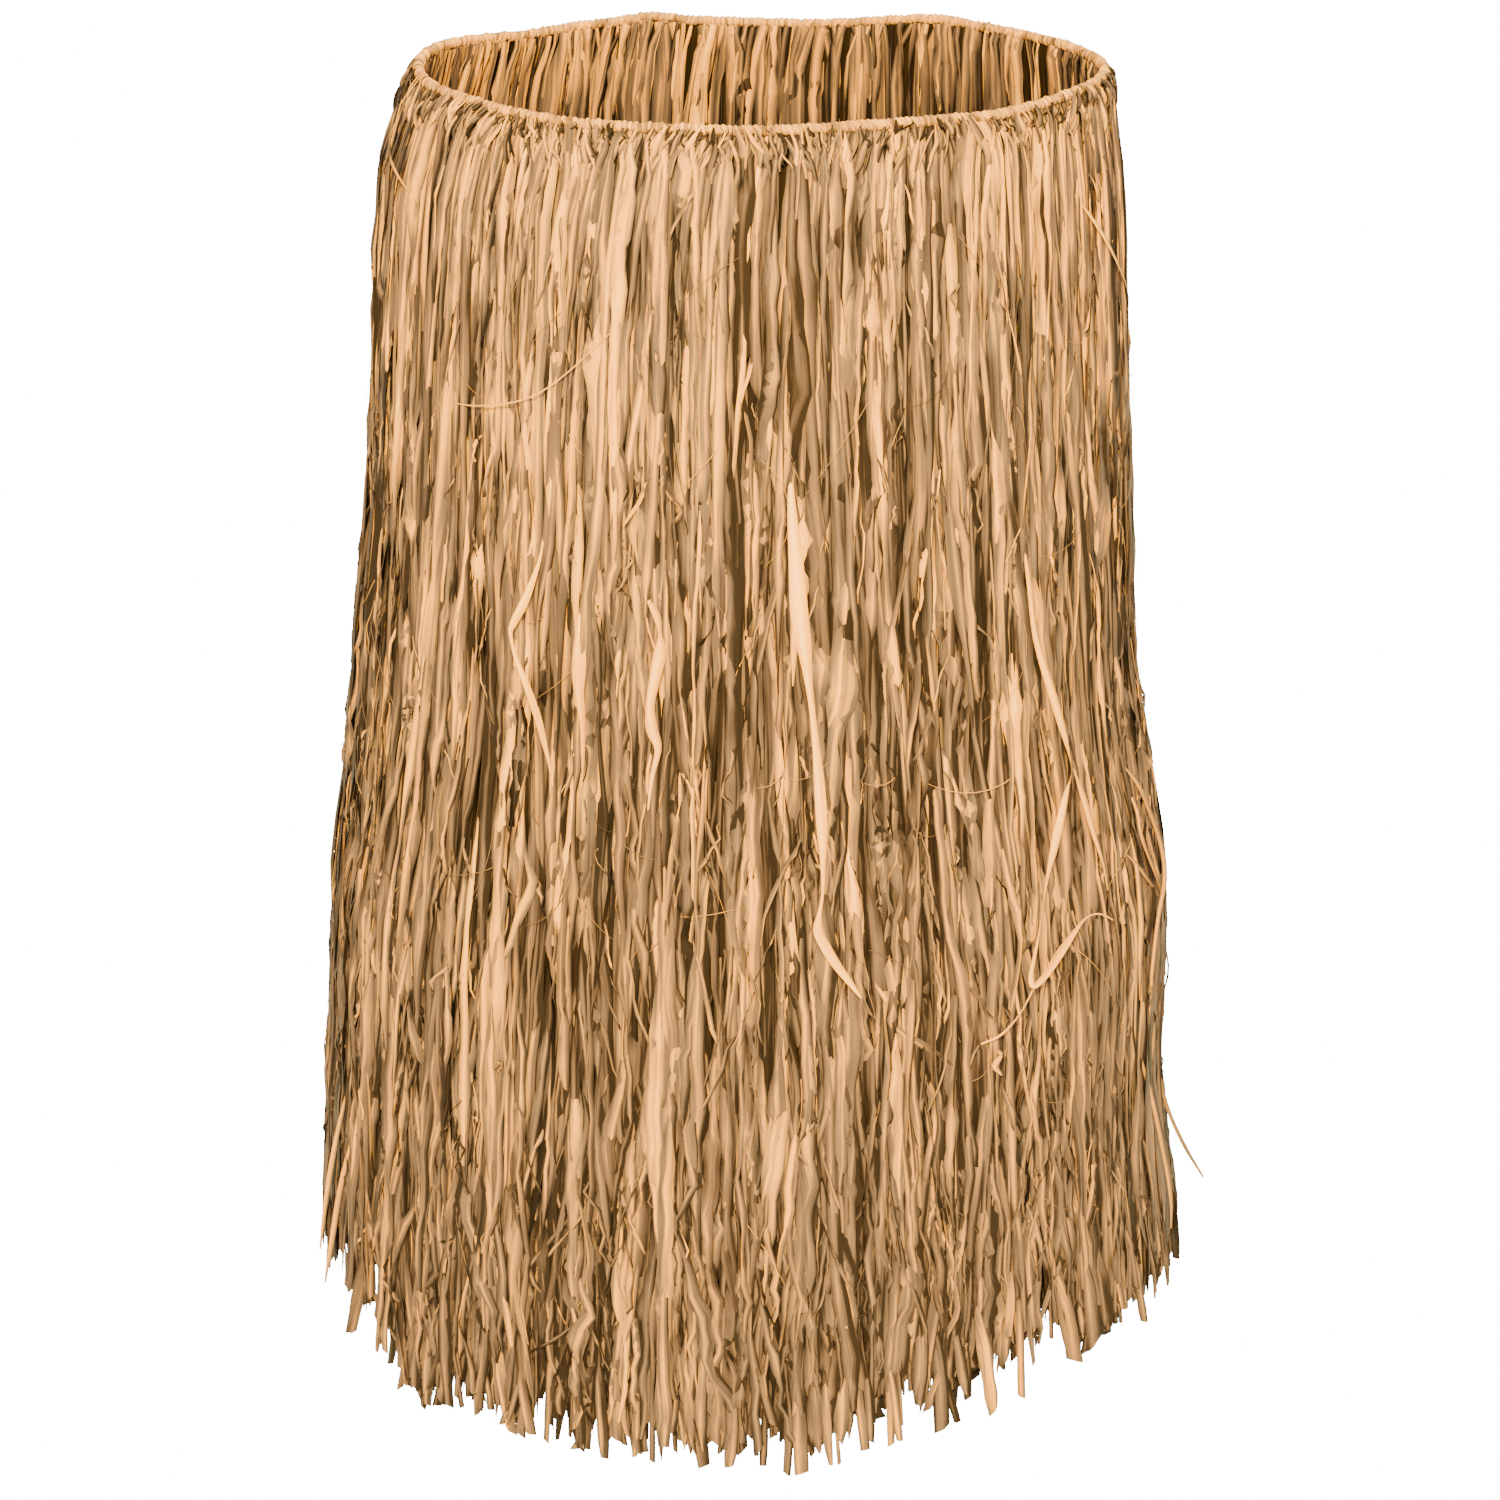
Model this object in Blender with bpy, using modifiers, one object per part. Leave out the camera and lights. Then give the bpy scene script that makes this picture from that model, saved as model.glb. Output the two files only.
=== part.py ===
"""Raffia grass skirt, filled out as it is worn.

A braided waist cord carries four gathered curtain panels. Outside each panel hangs a fringe:
a crinkled heading strip with separate locks of raffia that reach the ragged hem.

Metres, +Z up, front towards -Y. The origin is the centre of the waist cord's ring, where the
wearer holds the skirt up. The wearer's left is +X.
"""

import math
import random
from typing import NamedTuple

import bmesh
import bpy
import numpy as np
from mathutils import Vector

# ---------------------------------------------------------------- sizes

SKIRT_LENGTH = 0.787        # cord's middle to the longest tips (31 in)
WAIST_WIDTH = 0.392         # outside of the gathered heading, side to side
WAIST_DEPTH = 0.293         # the same, front to back
HEM_WIDTH = 0.556
HEM_DEPTH = 0.442

CORD_RADIUS = 0.0031
CORD_LUMP = 0.07            # how far the cord's turns swell and shrink, as a share of its radius
CORD_POINTS = 96
CORD_LUMPS = 37             # swellings round the ring
CORD_INSET = 0.0036         # cord's middle, inside the heading's outer face

PANEL_GAP = 0.0003          # between neighbouring pieces
CURTAIN_TOP = 0.0037        # drop of the curtain's top edge, just under the cord
CURTAIN_HEM = 0.757         # drop of the curtain's bottom edge
CURTAIN_HEM_RAGGED = 0.014
CURTAIN_THICKNESS = 0.0025
CURTAIN_SETBACK = 0.0042    # outermost ridges, inside the skirt's outer face
GATHERS_PER_PANEL = 20
GATHER_DEPTH = (0.0010, 0.0022)

LOCKS_PER_PANEL = 40
HEADING_TOP = 0.0018        # drop of the heading strip's outer top edge
HEADING_SEAT = 0.0045       # drop of its inner top edge, just under the cord
HEADING_BULGE = 0.007       # drop of the row of crinkles halfway down it
HEADING_PROUD = 0.0004      # its top edge, outside the skirt's outer face
HEADING_CRINKLE = (-0.0014, 0.0016)     # its crinkles, outside the skirt's outer face
HEADING_WOBBLE = 0.0018     # how far a crinkle lies above or below its row
LOCK_SETBACK = 0.0036       # a lock's flat back, inside the skirt's outer face
LOCK_HEIGHT = (0.0018, 0.0036)
LOCK_WIDTH_SHARE = (0.54, 0.86)   # of the room each lock has
LOCK_DRIFT_SHARE = 0.34     # how much of the room that is left a lock strays into, each way
LOCK_RIDGE_SHIFT = 0.28     # of a ridge sideways, as a share of the lock's half width
LOCK_STAND_OFF = 0.0016     # most that a lock hangs clear of its neighbours, outwards
LOCK_SHORTFALL = 0.046      # the shortest lock's tip above the longest's
LOCK_SHORTNESS = 1.9        # past 1, more of the locks are nearly full length
TIP_WIDTH_SHARE = 0.80      # of a lock's full width
TIP_SLANT = 0.007           # one corner of a tip, above the other

SEED = 31


class Level(NamedTuple):
    """The skirt's outer face at one height: an ellipse, its middle leaning sideways."""

    drop: float         # below the cord's middle
    half_width: float   # along X
    half_depth: float   # along Y
    lean: float         # of the ellipse's middle along X


LEVELS = (
    Level(-0.010, WAIST_WIDTH / 2, WAIST_DEPTH / 2, 0.000),
    Level(0.000, WAIST_WIDTH / 2, WAIST_DEPTH / 2, 0.000),
    Level(0.014, 0.2010, 0.1512, -0.002),
    Level(0.050, 0.2090, 0.1590, -0.005),
    Level(0.150, 0.2190, 0.1680, -0.006),
    Level(0.350, 0.2350, 0.1830, -0.006),
    Level(0.490, 0.2575, 0.2015, -0.006),
    Level(SKIRT_LENGTH, HEM_WIDTH / 2, HEM_DEPTH / 2, -0.006),
)
HEADING_BOTTOM = 0.014      # drop where the locks part from the heading strip
FOLD_DROPS = (HEADING_BOTTOM, 0.050, 0.150, 0.350, 0.490)   # where a panel or a lock turns


class Rise(NamedTuple):
    """A place where the waist cord rides up."""

    turn: float     # share of the way round, from the front's middle towards the wearer's left
    height: float
    spread: float   # share of the way round


RISES = (
    Rise(0.407, 0.0040, 0.022),
    Rise(0.568, 0.0042, 0.020),
    Rise(0.735, 0.0016, 0.030),
    Rise(0.060, 0.0014, 0.045),
)
RISE_FADE = 0.150           # drop at which a rise of the cord no longer shows


class Sway(NamedTuple):
    """One of the waves in which the hanging locks drift sideways together."""

    waves: int      # round the skirt
    size: float     # at the hem
    phase: float


SWAYS = (
    Sway(2, 0.0080, 0.6),
    Sway(5, 0.0040, 2.1),
    Sway(13, 0.0016, 4.0),
)

PANELS = ("front", "left", "back", "right")     # a quarter turn each, from the front's middle

# ---------------------------------------------------------------- the skirt's form


def turn_table(samples: int = 720) -> tuple[np.ndarray, np.ndarray]:
    """Shares of the way round the mean ellipse, and the ellipse's own angle at each."""
    angle = np.linspace(-math.pi / 2, 3 * math.pi / 2, samples + 1)
    width = (WAIST_WIDTH + HEM_WIDTH) / 4
    depth = (WAIST_DEPTH + HEM_DEPTH) / 4
    steps = np.hypot(width * np.diff(np.cos(angle)), depth * np.diff(np.sin(angle)))
    share = np.concatenate(([0.0], np.cumsum(steps))) / steps.sum()
    return share, angle


TURN_SHARE, TURN_ANGLE = turn_table()


def rise_of(turn: float) -> float:
    """How far the cord rides up at a share of the way round."""
    total = 0.0
    for rise in RISES:
        away = (turn - rise.turn + 0.5) % 1.0 - 0.5
        total += rise.height * math.exp(-((away / rise.spread) ** 2))
    return total


def sway_of(turn: float, drop: float) -> float:
    """How far a lock drifts along the skirt's face, growing with the square of its drop."""
    share = (drop / SKIRT_LENGTH) ** 2
    drift = sum(sway.size * math.sin(2 * math.pi * sway.waves * turn + sway.phase) for sway in SWAYS)
    return share * drift


def section_at(drop: float) -> tuple[float, float, float]:
    """Half width, half depth and lean of the outer face at a drop, straight between the levels."""
    drops = [level.drop for level in LEVELS]
    half_width = np.interp(drop, drops, [level.half_width for level in LEVELS])
    half_depth = np.interp(drop, drops, [level.half_depth for level in LEVELS])
    lean = np.interp(drop, drops, [level.lean for level in LEVELS])
    return float(half_width), float(half_depth), float(lean)


def girth_at(drop: float) -> float:
    """Distance round the skirt's outer face at a drop."""
    half_width, half_depth, _ = section_at(drop)
    return math.pi * (half_width + half_depth)


def form_point(turn: float, drop: float, inward: float) -> Vector:
    """A point of the skirt: round by its turn, down by its drop, in from the outer face."""
    half_width, half_depth, lean = section_at(drop)
    angle = float(np.interp(turn % 1.0, TURN_SHARE, TURN_ANGLE))
    outward = Vector((half_depth * math.cos(angle), half_width * math.sin(angle), 0.0)).normalized()
    lift = rise_of(turn) * max(0.0, 1.0 - max(drop, 0.0) / RISE_FADE)
    face = Vector((lean + half_width * math.cos(angle), half_depth * math.sin(angle), lift - drop))
    return face - inward * outward


def panel_turns(panel: int, count: int) -> list[float]:
    """Evenly spaced turns across one panel, held back from its neighbours by half a gap."""
    margin = 0.5 * PANEL_GAP / girth_at(0.0)
    start = (panel - 0.5) / len(PANELS) + margin
    end = (panel + 0.5) / len(PANELS) - margin
    return [start + (end - start) * i / count for i in range(count + 1)]


# ---------------------------------------------------------------- helpers


def material(name: str, color: tuple[float, float, float], roughness: float) -> bpy.types.Material:
    """A Principled material of one colour."""
    made = bpy.data.materials.new(name)
    made.use_nodes = True
    shader = made.node_tree.nodes["Principled BSDF"]
    shader.inputs["Base Color"].default_value = (*color, 1.0)
    shader.inputs["Roughness"].default_value = roughness
    shader.inputs["Metallic"].default_value = 0.0
    made.diffuse_color = (*color, 1.0)
    return made


def add_object(name: str, data: bpy.types.ID, finish: bpy.types.Material) -> bpy.types.Object:
    """A named object of the skirt's collection, in one material."""
    piece = bpy.data.objects.new(name, data)
    data.materials.append(finish)
    SKIRT.objects.link(piece)
    return piece


def add_bmesh(name: str, shape: bmesh.types.BMesh, finish: bpy.types.Material) -> bpy.types.Object:
    """An object from a bmesh, which is freed."""
    mesh = bpy.data.meshes.new(name)
    shape.to_mesh(mesh)
    shape.free()
    return add_object(name, mesh, finish)


# ---------------------------------------------------------------- waist cord


def make_waist_cord(finish: bpy.types.Material) -> bpy.types.Object:
    """A closed ring of cord whose turns swell and shrink a little."""
    curve = bpy.data.curves.new("waist_cord", "CURVE")
    curve.dimensions = "3D"
    curve.bevel_depth = CORD_RADIUS
    curve.bevel_resolution = 2
    spline = curve.splines.new("POLY")
    spline.points.add(CORD_POINTS - 1)
    spline.use_cyclic_u = True
    for i, point in enumerate(spline.points):
        turn = i / CORD_POINTS
        point.co = (*form_point(turn, 0.0, CORD_INSET), 1.0)
        point.radius = 1.0 + CORD_LUMP * math.sin(2 * math.pi * CORD_LUMPS * turn)
    return add_object("waist_cord", curve, finish)


# ---------------------------------------------------------------- curtain panels


def make_curtain(panel: int, finish: bpy.types.Material) -> bpy.types.Object:
    """One gathered panel: an open sheet of ridges and troughs, thickened inwards.

    Columns of points alternate between a ridge and a trough, each with its own depth, and every
    row of points lies on one of the form's levels, so the sheet is straight between them. The
    first and last columns are as deep as their neighbours, so the panel's ends are square.
    """
    chance = random.Random(SEED + panel)
    turns = panel_turns(panel, 2 * GATHERS_PER_PANEL)
    depths = [chance.uniform(*GATHER_DEPTH) if i % 2 else 0.0 for i in range(len(turns))]
    depths[0] = depths[1]
    depths[-1] = depths[-2]
    shape = bmesh.new()
    columns = []
    for turn, depth in zip(turns, depths):
        hem = CURTAIN_HEM + chance.uniform(-CURTAIN_HEM_RAGGED, CURTAIN_HEM_RAGGED)
        drops = (CURTAIN_TOP, *FOLD_DROPS, hem)
        points = [form_point(turn, drop, CURTAIN_SETBACK + depth) for drop in drops]
        columns.append([shape.verts.new(point) for point in points])
    for left, right in zip(columns, columns[1:]):
        for row in range(len(left) - 1):
            shape.faces.new((left[row], left[row + 1], right[row + 1], right[row]))
    piece = add_bmesh(f"curtain_{PANELS[panel]}", shape, finish)
    wall = piece.modifiers.new("wall", "SOLIDIFY")
    wall.thickness = CURTAIN_THICKNESS
    wall.offset = -1.0
    wall.use_even_offset = True
    return piece


# ---------------------------------------------------------------- fringe


class Lock(NamedTuple):
    """One hanging lock of raffia, three-sided: a flat back and a ridge outside."""

    turn: float             # of its middle
    width_share: float      # of the room it has
    height: float           # from its back to its ridge
    stand_off: float        # outwards, halfway down
    ridge_shift: float      # of its ridge sideways, as a share of its half width
    tip_drop: float
    tip_slant: float


class Stop(NamedTuple):
    """A place down a lock where it turns."""

    drop: float
    drift: float            # sideways, as a share of the room that the lock leaves
    narrow: float           # width, as a share of the lock's full width
    slant: float            # of the back's second corner below the first


def random_lock(turn: float, chance: random.Random) -> Lock:
    """A lock with its own width, height, hang and length."""
    return Lock(
        turn=turn,
        width_share=chance.uniform(*LOCK_WIDTH_SHARE),
        height=chance.uniform(*LOCK_HEIGHT),
        stand_off=chance.uniform(0.0, LOCK_STAND_OFF),
        ridge_shift=chance.uniform(-LOCK_RIDGE_SHIFT, LOCK_RIDGE_SHIFT),
        tip_drop=SKIRT_LENGTH - LOCK_SHORTFALL * chance.random() ** LOCK_SHORTNESS,
        tip_slant=chance.uniform(-TIP_SLANT, TIP_SLANT),
    )


def lock_stops(lock: Lock, chance: random.Random) -> list[Stop]:
    """The places where a lock turns: at the form's folds, once below them, and at its tip."""
    bend = 0.5 * (FOLD_DROPS[-1] + lock.tip_drop)
    shapes = [(drop, 1.0, 0.0) for drop in FOLD_DROPS[1:]]
    shapes += [(bend, 1.0, 0.0), (lock.tip_drop, TIP_WIDTH_SHARE, lock.tip_slant)]
    return [
        Stop(drop, chance.uniform(-LOCK_DRIFT_SHARE, LOCK_DRIFT_SHARE), narrow, slant)
        for drop, narrow, slant in shapes
    ]


def lock_section(lock: Lock, stop: Stop) -> list[Vector]:
    """The three corners of a lock at a stop: the back's two, and the ridge.

    The back lies along the form at the lock's setback, and the ridge stands out from it.
    """
    room = 1.0 / (len(PANELS) * LOCKS_PER_PANEL)
    width = lock.width_share * stop.narrow
    drift = room * (1.0 - width) * stop.drift
    middle = lock.turn + sway_of(lock.turn, stop.drop) / girth_at(stop.drop) + drift
    half = 0.5 * room * width
    hang = lock.stand_off * math.sin(math.pi * stop.drop / SKIRT_LENGTH)
    back = LOCK_SETBACK - hang
    return [
        form_point(middle - half, stop.drop - stop.slant, back),
        form_point(middle + half, stop.drop + stop.slant, back),
        form_point(middle + half * lock.ridge_shift, stop.drop, back - lock.height * stop.narrow),
    ]


def make_fringe(panel: int, finish: bpy.types.Material) -> bpy.types.Object:
    """A heading strip and the locks that hang from it, as one solid.

    The strip's underside is a row of triangles that point outwards and inwards by turns. Each
    one that points outwards is drawn down, level by level, into a three-sided lock.
    """
    chance = random.Random(SEED * 10 + panel)
    turns = panel_turns(panel, LOCKS_PER_PANEL)
    middles = [0.5 * (a + b) for a, b in zip(turns, turns[1:])]
    shape = bmesh.new()

    def straight_row(places: list[float], drop: float, proud: float) -> list[bmesh.types.BMVert]:
        """Points of the strip at one drop, this far outside the skirt's outer face."""
        return [shape.verts.new(form_point(place, drop, -proud)) for place in places]

    def crinkled_row(places: list[float], drop: float) -> list[bmesh.types.BMVert]:
        """Points of the strip about one drop, each standing out and hanging by its own amount."""
        row = []
        for place in places:
            proud = chance.uniform(*HEADING_CRINKLE)
            wobble = chance.uniform(-HEADING_WOBBLE, HEADING_WOBBLE)
            row.append(shape.verts.new(form_point(place, drop + wobble, -proud)))
        return row

    outer_places = [turns[0], *middles, turns[-1]]
    inner_top = straight_row(turns, HEADING_SEAT, -LOCK_SETBACK)
    inner_bottom = straight_row(turns, HEADING_BOTTOM, -LOCK_SETBACK)
    outer_top = straight_row(outer_places, HEADING_TOP, HEADING_PROUD)
    outer_middle = crinkled_row(outer_places, HEADING_BULGE)
    outer_bottom = crinkled_row(outer_places, HEADING_BOTTOM)

    for i in range(LOCKS_PER_PANEL):
        shape.faces.new((inner_top[i], inner_top[i + 1], inner_bottom[i + 1], inner_bottom[i]))
        shape.faces.new((inner_top[i + 1], inner_top[i], outer_top[i + 1]))
    for upper, lower in ((outer_top, outer_middle), (outer_middle, outer_bottom)):
        for i in range(LOCKS_PER_PANEL + 1):
            shape.faces.new((upper[i], lower[i], lower[i + 1], upper[i + 1]))
    for i in range(LOCKS_PER_PANEL + 1):
        shape.faces.new((outer_top[i], outer_top[i + 1], inner_top[i]))
        shape.faces.new((outer_bottom[i + 1], outer_bottom[i], inner_bottom[i]))
    for end in (0, -1):
        corners = (inner_top, inner_bottom, outer_bottom, outer_middle, outer_top)
        shape.faces.new([corner[end] for corner in corners])

    roots = [
        shape.faces.new((inner_bottom[i], inner_bottom[i + 1], outer_bottom[i + 1]))
        for i in range(LOCKS_PER_PANEL)
    ]
    for root, middle in zip(roots, middles):
        lock = random_lock(middle, chance)
        draw_lock(shape, root, lock, lock_stops(lock, chance))
    bmesh.ops.recalc_face_normals(shape, faces=shape.faces)
    return add_bmesh(f"fringe_{PANELS[panel]}", shape, finish)


def draw_lock(shape: bmesh.types.BMesh, root: bmesh.types.BMFace, lock: Lock, stops: list[Stop]) -> None:
    """Extrude a root triangle down the form, stop by stop, to the lock's narrow, slanted tip."""
    face = root
    for stop in stops:
        face = bmesh.ops.extrude_discrete_faces(shape, faces=[face])["faces"][0]
        for vert, place in zip(face.verts, lock_section(lock, stop)):
            vert.co = place


# ---------------------------------------------------------------- the skirt

for stray in list(bpy.data.objects):
    bpy.data.objects.remove(stray)

SKIRT = bpy.data.collections.new("grass_skirt")
bpy.context.scene.collection.children.link(SKIRT)

CORD_RAFFIA = material("cord_raffia", (0.70, 0.45, 0.26), 0.62)
CURTAIN_RAFFIA = material("curtain_raffia", (0.36, 0.20, 0.095), 0.70)
FRINGE_RAFFIA = material("fringe_raffia", (0.50, 0.29, 0.145), 0.64)

make_waist_cord(CORD_RAFFIA)
for number in range(len(PANELS)):
    make_curtain(number, CURTAIN_RAFFIA)
    make_fringe(number, FRINGE_RAFFIA)
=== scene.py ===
"""Raffia grass skirt, filled out as it is worn.

Strips of raffia hang in layers from a twisted waist cord. Each quarter turn of the skirt has a
fringe of outer strips and a curtain of inner ones, with a dark matted layer between them, whose
darkness is painted shade.

Metres, +Z up, front towards -Y, the wearer's left is +X. The origin is the middle of the cord's ring.
A "turn" is a share of the way round, 0 at the front's middle and rising towards the wearer's left.
A "drop" is the height below the cord's middle. "Inward" is measured from the skirt's outer face.
"""

import logging
import math
from dataclasses import dataclass, replace
from enum import Enum
from functools import cached_property

import bpy
import numpy as np
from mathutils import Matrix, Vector


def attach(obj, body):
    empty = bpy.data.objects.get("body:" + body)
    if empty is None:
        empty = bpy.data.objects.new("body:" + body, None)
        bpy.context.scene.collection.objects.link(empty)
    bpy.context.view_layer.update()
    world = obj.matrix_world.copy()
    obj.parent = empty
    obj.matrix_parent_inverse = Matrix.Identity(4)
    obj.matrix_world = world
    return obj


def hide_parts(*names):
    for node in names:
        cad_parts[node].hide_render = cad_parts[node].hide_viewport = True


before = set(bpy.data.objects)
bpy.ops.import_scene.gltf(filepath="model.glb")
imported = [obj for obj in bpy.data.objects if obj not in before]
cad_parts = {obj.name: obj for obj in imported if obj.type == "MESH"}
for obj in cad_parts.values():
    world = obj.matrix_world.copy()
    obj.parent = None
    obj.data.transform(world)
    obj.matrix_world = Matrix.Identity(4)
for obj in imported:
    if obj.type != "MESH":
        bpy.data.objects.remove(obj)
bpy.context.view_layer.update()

LOG = logging.getLogger("grass_skirt")
BODY = "root"
TAU = 2.0 * math.pi
MM = 0.001
BAKE_MAP = "OFBake"

Array = np.ndarray
Range = tuple[float, float]
Triple = tuple[float, float, float]
Table = tuple[tuple[float, ...], ...]
Socket = bpy.types.NodeSocket


# ------------------------------------------------------------------ the skirt's form


class Quarter(Enum):
    """A quarter turn of the skirt, named for the side of the wearer that it covers."""

    FRONT = 0
    LEFT = 1
    BACK = 2
    RIGHT = 3

    @property
    def side(self) -> str:
        """The quarter's name as its pieces and nodes spell it."""
        return self.name.lower()

    @property
    def start(self) -> float:
        """The turn at which the quarter begins."""
        return (self.value - 0.5) / len(Quarter)

    def holds(self, turn: Array) -> Array:
        """Whether each turn lies in the quarter."""
        return np.mod(turn - self.start, 1.0) < 1.0 / len(Quarter)

    def chance(self, seed: int) -> np.random.Generator:
        """The quarter's own source of random draws."""
        return np.random.default_rng(seed + self.value)


@dataclass(frozen=True)
class Level:
    """The outer face at one height: an ellipse, its middle leaning sideways."""

    drop: float
    half_width: float
    half_depth: float
    lean: float = 0.0


@dataclass(frozen=True)
class Sway:
    """A wave in which the hanging strips drift sideways together, sized at the hem."""

    waves: int
    size: float
    phase: float


@dataclass(frozen=True)
class Hollow:
    """A place where the skirt hangs in a little, or out below zero: a bell by turn and by drop."""

    turn: float
    drop: float
    depth: float
    turn_spread: float
    drop_spread: float


@dataclass(frozen=True)
class SkirtForm:
    """The skirt's outer face, from which every strip takes its place."""

    length: float = 0.787
    levels: tuple[Level, ...] = (
        Level(-0.010, 0.1960, 0.1465),
        Level(0.000, 0.1960, 0.1465),
        Level(0.014, 0.2010, 0.1512, -0.002),
        Level(0.050, 0.2090, 0.1590, -0.005),
        Level(0.150, 0.2190, 0.1680, -0.006),
        Level(0.350, 0.2350, 0.1830, -0.006),
        Level(0.490, 0.2575, 0.2015, -0.006),
        Level(0.787, 0.2780, 0.2210, -0.006),
    )
    cord_line: Table = (  # turns, and how high the cord rides there in mm
        (0.000, -2.0), (0.040, -0.6), (0.080, -0.1), (0.120, -1.2), (0.140, -0.5), (0.160, 1.2),
        (0.190, 2.4), (0.240, 2.0), (0.280, 1.9), (0.310, 2.6), (0.350, 3.2), (0.380, 4.7), (0.400, 6.4),
        (0.420, 4.1), (0.440, 1.5), (0.460, -0.5), (0.480, -1.2), (0.500, -0.6), (0.540, 1.2), (0.560, 5.6),
        (0.580, 2.5), (0.600, 2.3), (0.620, 1.3), (0.640, 0.2), (0.660, 2.0), (0.680, 3.6), (0.700, 4.9),
        (0.720, 5.8), (0.760, 3.8), (0.800, 1.2), (0.840, 1.0), (0.860, -0.6), (0.880, -1.7), (0.920, -2.2),
        (0.960, -1.7),
    )
    cord_rounding: float = 0.008
    sways: tuple[Sway, ...] = (Sway(2, 0.0080, 0.6), Sway(5, 0.0040, 2.1), Sway(13, 0.0016, 4.0))
    rise_fade: float = 0.150  # drop at which the cord's rise is lost
    hollow_below: float = 0.03  # drop from which the hollows are whole
    hollows: tuple[Hollow, ...] = (
        Hollow(0.25, 0.085, -0.0008, 0.10, 0.05),
        Hollow(0.25, 0.320, 0.0040, 0.10, 0.16),
        Hollow(0.25, 0.620, 0.0085, 0.10, 0.085),
        Hollow(0.75, 0.085, -0.0025, 0.10, 0.05),
        Hollow(0.75, 0.345, -0.0046, 0.10, 0.07),
    )
    hem: Table = (  # turns, and how far down the longest strips reach there
        (-0.500, 0.776), (-0.300, 0.766), (-0.240, 0.757), (-0.200, 0.746), (-0.165, 0.774),
        (-0.140, 0.797), (-0.100, 0.788), (-0.060, 0.795), (-0.030, 0.791), (0.032, 0.789), (0.046, 0.766),
        (0.065, 0.770), (0.085, 0.777), (0.105, 0.756), (0.125, 0.750), (0.150, 0.770), (0.195, 0.765),
        (0.260, 0.756), (0.300, 0.762), (0.500, 0.776),
    )
    arc_steps: int = 720

    @cached_property
    def turn_table(self) -> tuple[Array, Array]:
        """Turns and the ellipse's own angle at each, by arc length on the mean of waist and hem."""
        waist, hem = self.levels[0], self.levels[-1]
        angle = np.linspace(-math.pi / 2, 3 * math.pi / 2, self.arc_steps + 1)
        width = (waist.half_width + hem.half_width) / 2
        depth = (waist.half_depth + hem.half_depth) / 2
        steps = np.hypot(width * np.diff(np.cos(angle)), depth * np.diff(np.sin(angle)))
        return np.concatenate(([0.0], np.cumsum(steps))) / steps.sum(), angle

    def angle(self, turn: Array) -> Array:
        """The ellipse's angle at each turn."""
        return np.interp(np.mod(turn, 1.0), *self.turn_table)

    def section(self, drop: Array) -> tuple[Array, Array, Array]:
        """Half width, half depth and lean at each drop, straight between the levels."""
        drops = [level.drop for level in self.levels]
        return tuple(
            np.interp(drop, drops, [getattr(level, size) for level in self.levels])
            for size in ("half_width", "half_depth", "lean")
        )

    def girth(self, drop: Array) -> Array:
        """Distance round the outer face at each drop: pi times the two half sizes."""
        half_width, half_depth, _ = self.section(drop)
        return math.pi * (half_width + half_depth)

    def outward(self, turn: Array, drop: Array) -> Array:
        """The level direction away from the wearer: the ellipse's normal."""
        half_width, half_depth, _ = self.section(drop)
        angle = self.angle(turn)
        across, depth = half_depth * np.cos(angle), half_width * np.sin(angle)
        size = np.hypot(across, depth)
        return np.stack([across / size, depth / size, np.zeros_like(size)], axis=-1)

    def lift(self, turn: Array, drop: Array) -> Array:
        """How far the cord lifts each place.

        Straight lines between the cord's points, rounded by the mean of three turns near by, fade
        with the drop.
        """
        turns, heights = np.array(self.cord_line).T
        near = (-self.cord_rounding, 0.0, self.cord_rounding)
        total = sum(np.interp(turn + aside, turns, heights * MM, period=1.0) for aside in near) / len(near)
        return total * np.clip(1.0 - np.maximum(drop, 0.0) / self.rise_fade, 0.0, 1.0)

    def hollow(self, turn: Array, drop: Array) -> Array:
        """How far each place hangs in: a bell by turn and drop for each hollow, none at the cord."""
        total = np.zeros(np.broadcast(turn, drop).shape)
        for dip in self.hollows:
            away = centred(turn - dip.turn) / dip.turn_spread
            total = total + dip.depth * np.exp(-(away**2) - ((drop - dip.drop) / dip.drop_spread) ** 2)
        return total * smooth_step(np.asarray(drop), 0.0, self.hollow_below)

    def hem_drop(self, turn: Array) -> Array:
        """How far down the longest strips reach at each turn, straight between the hem's points."""
        return np.interp(centred(turn), *np.array(self.hem).T)

    def sway(self, turn: Array, drop: Array) -> Array:
        """Drift along the face: a sum of sine waves round the skirt, by the square of the drop."""
        drift = sum(wave.size * np.sin(TAU * wave.waves * turn + wave.phase) for wave in self.sways)
        return drift * (drop / self.length) ** 2

    def place(self, turn: Array, drop: Array, inward: Array) -> Array:
        """Points of the skirt.

        Each is the ellipse's point (lean + a cos t, b sin t) at its drop, lifted with the cord and
        moved inwards along the ellipse's normal.

        Args:
            turn: Shares of the way round.
            drop: Heights below the cord's middle.
            inward: Distances inside the outer face, below zero where they stand proud.

        Returns:
            The points, with X, Y and Z on the last axis.
        """
        half_width, half_depth, lean = self.section(drop)
        angle = self.angle(turn)
        height = self.lift(turn, drop) - drop
        level = lean + half_width * np.cos(angle), half_depth * np.sin(angle), height
        face = np.stack(np.broadcast_arrays(*level), axis=-1)
        inward = np.asarray(inward) + self.hollow(turn, drop)
        return face - inward[..., None] * self.outward(turn, drop)


FORM = SkirtForm()


# ------------------------------------------------------------------ small sums and random draws


def unit(vectors: Array) -> Array:
    """The vectors at length one."""
    return vectors / np.linalg.norm(vectors, axis=-1, keepdims=True)


def centred(turn: Array) -> Array:
    """The turns, counted from half a turn before the front's middle to half a turn past it."""
    return np.mod(turn + 0.5, 1.0) - 0.5


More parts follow.
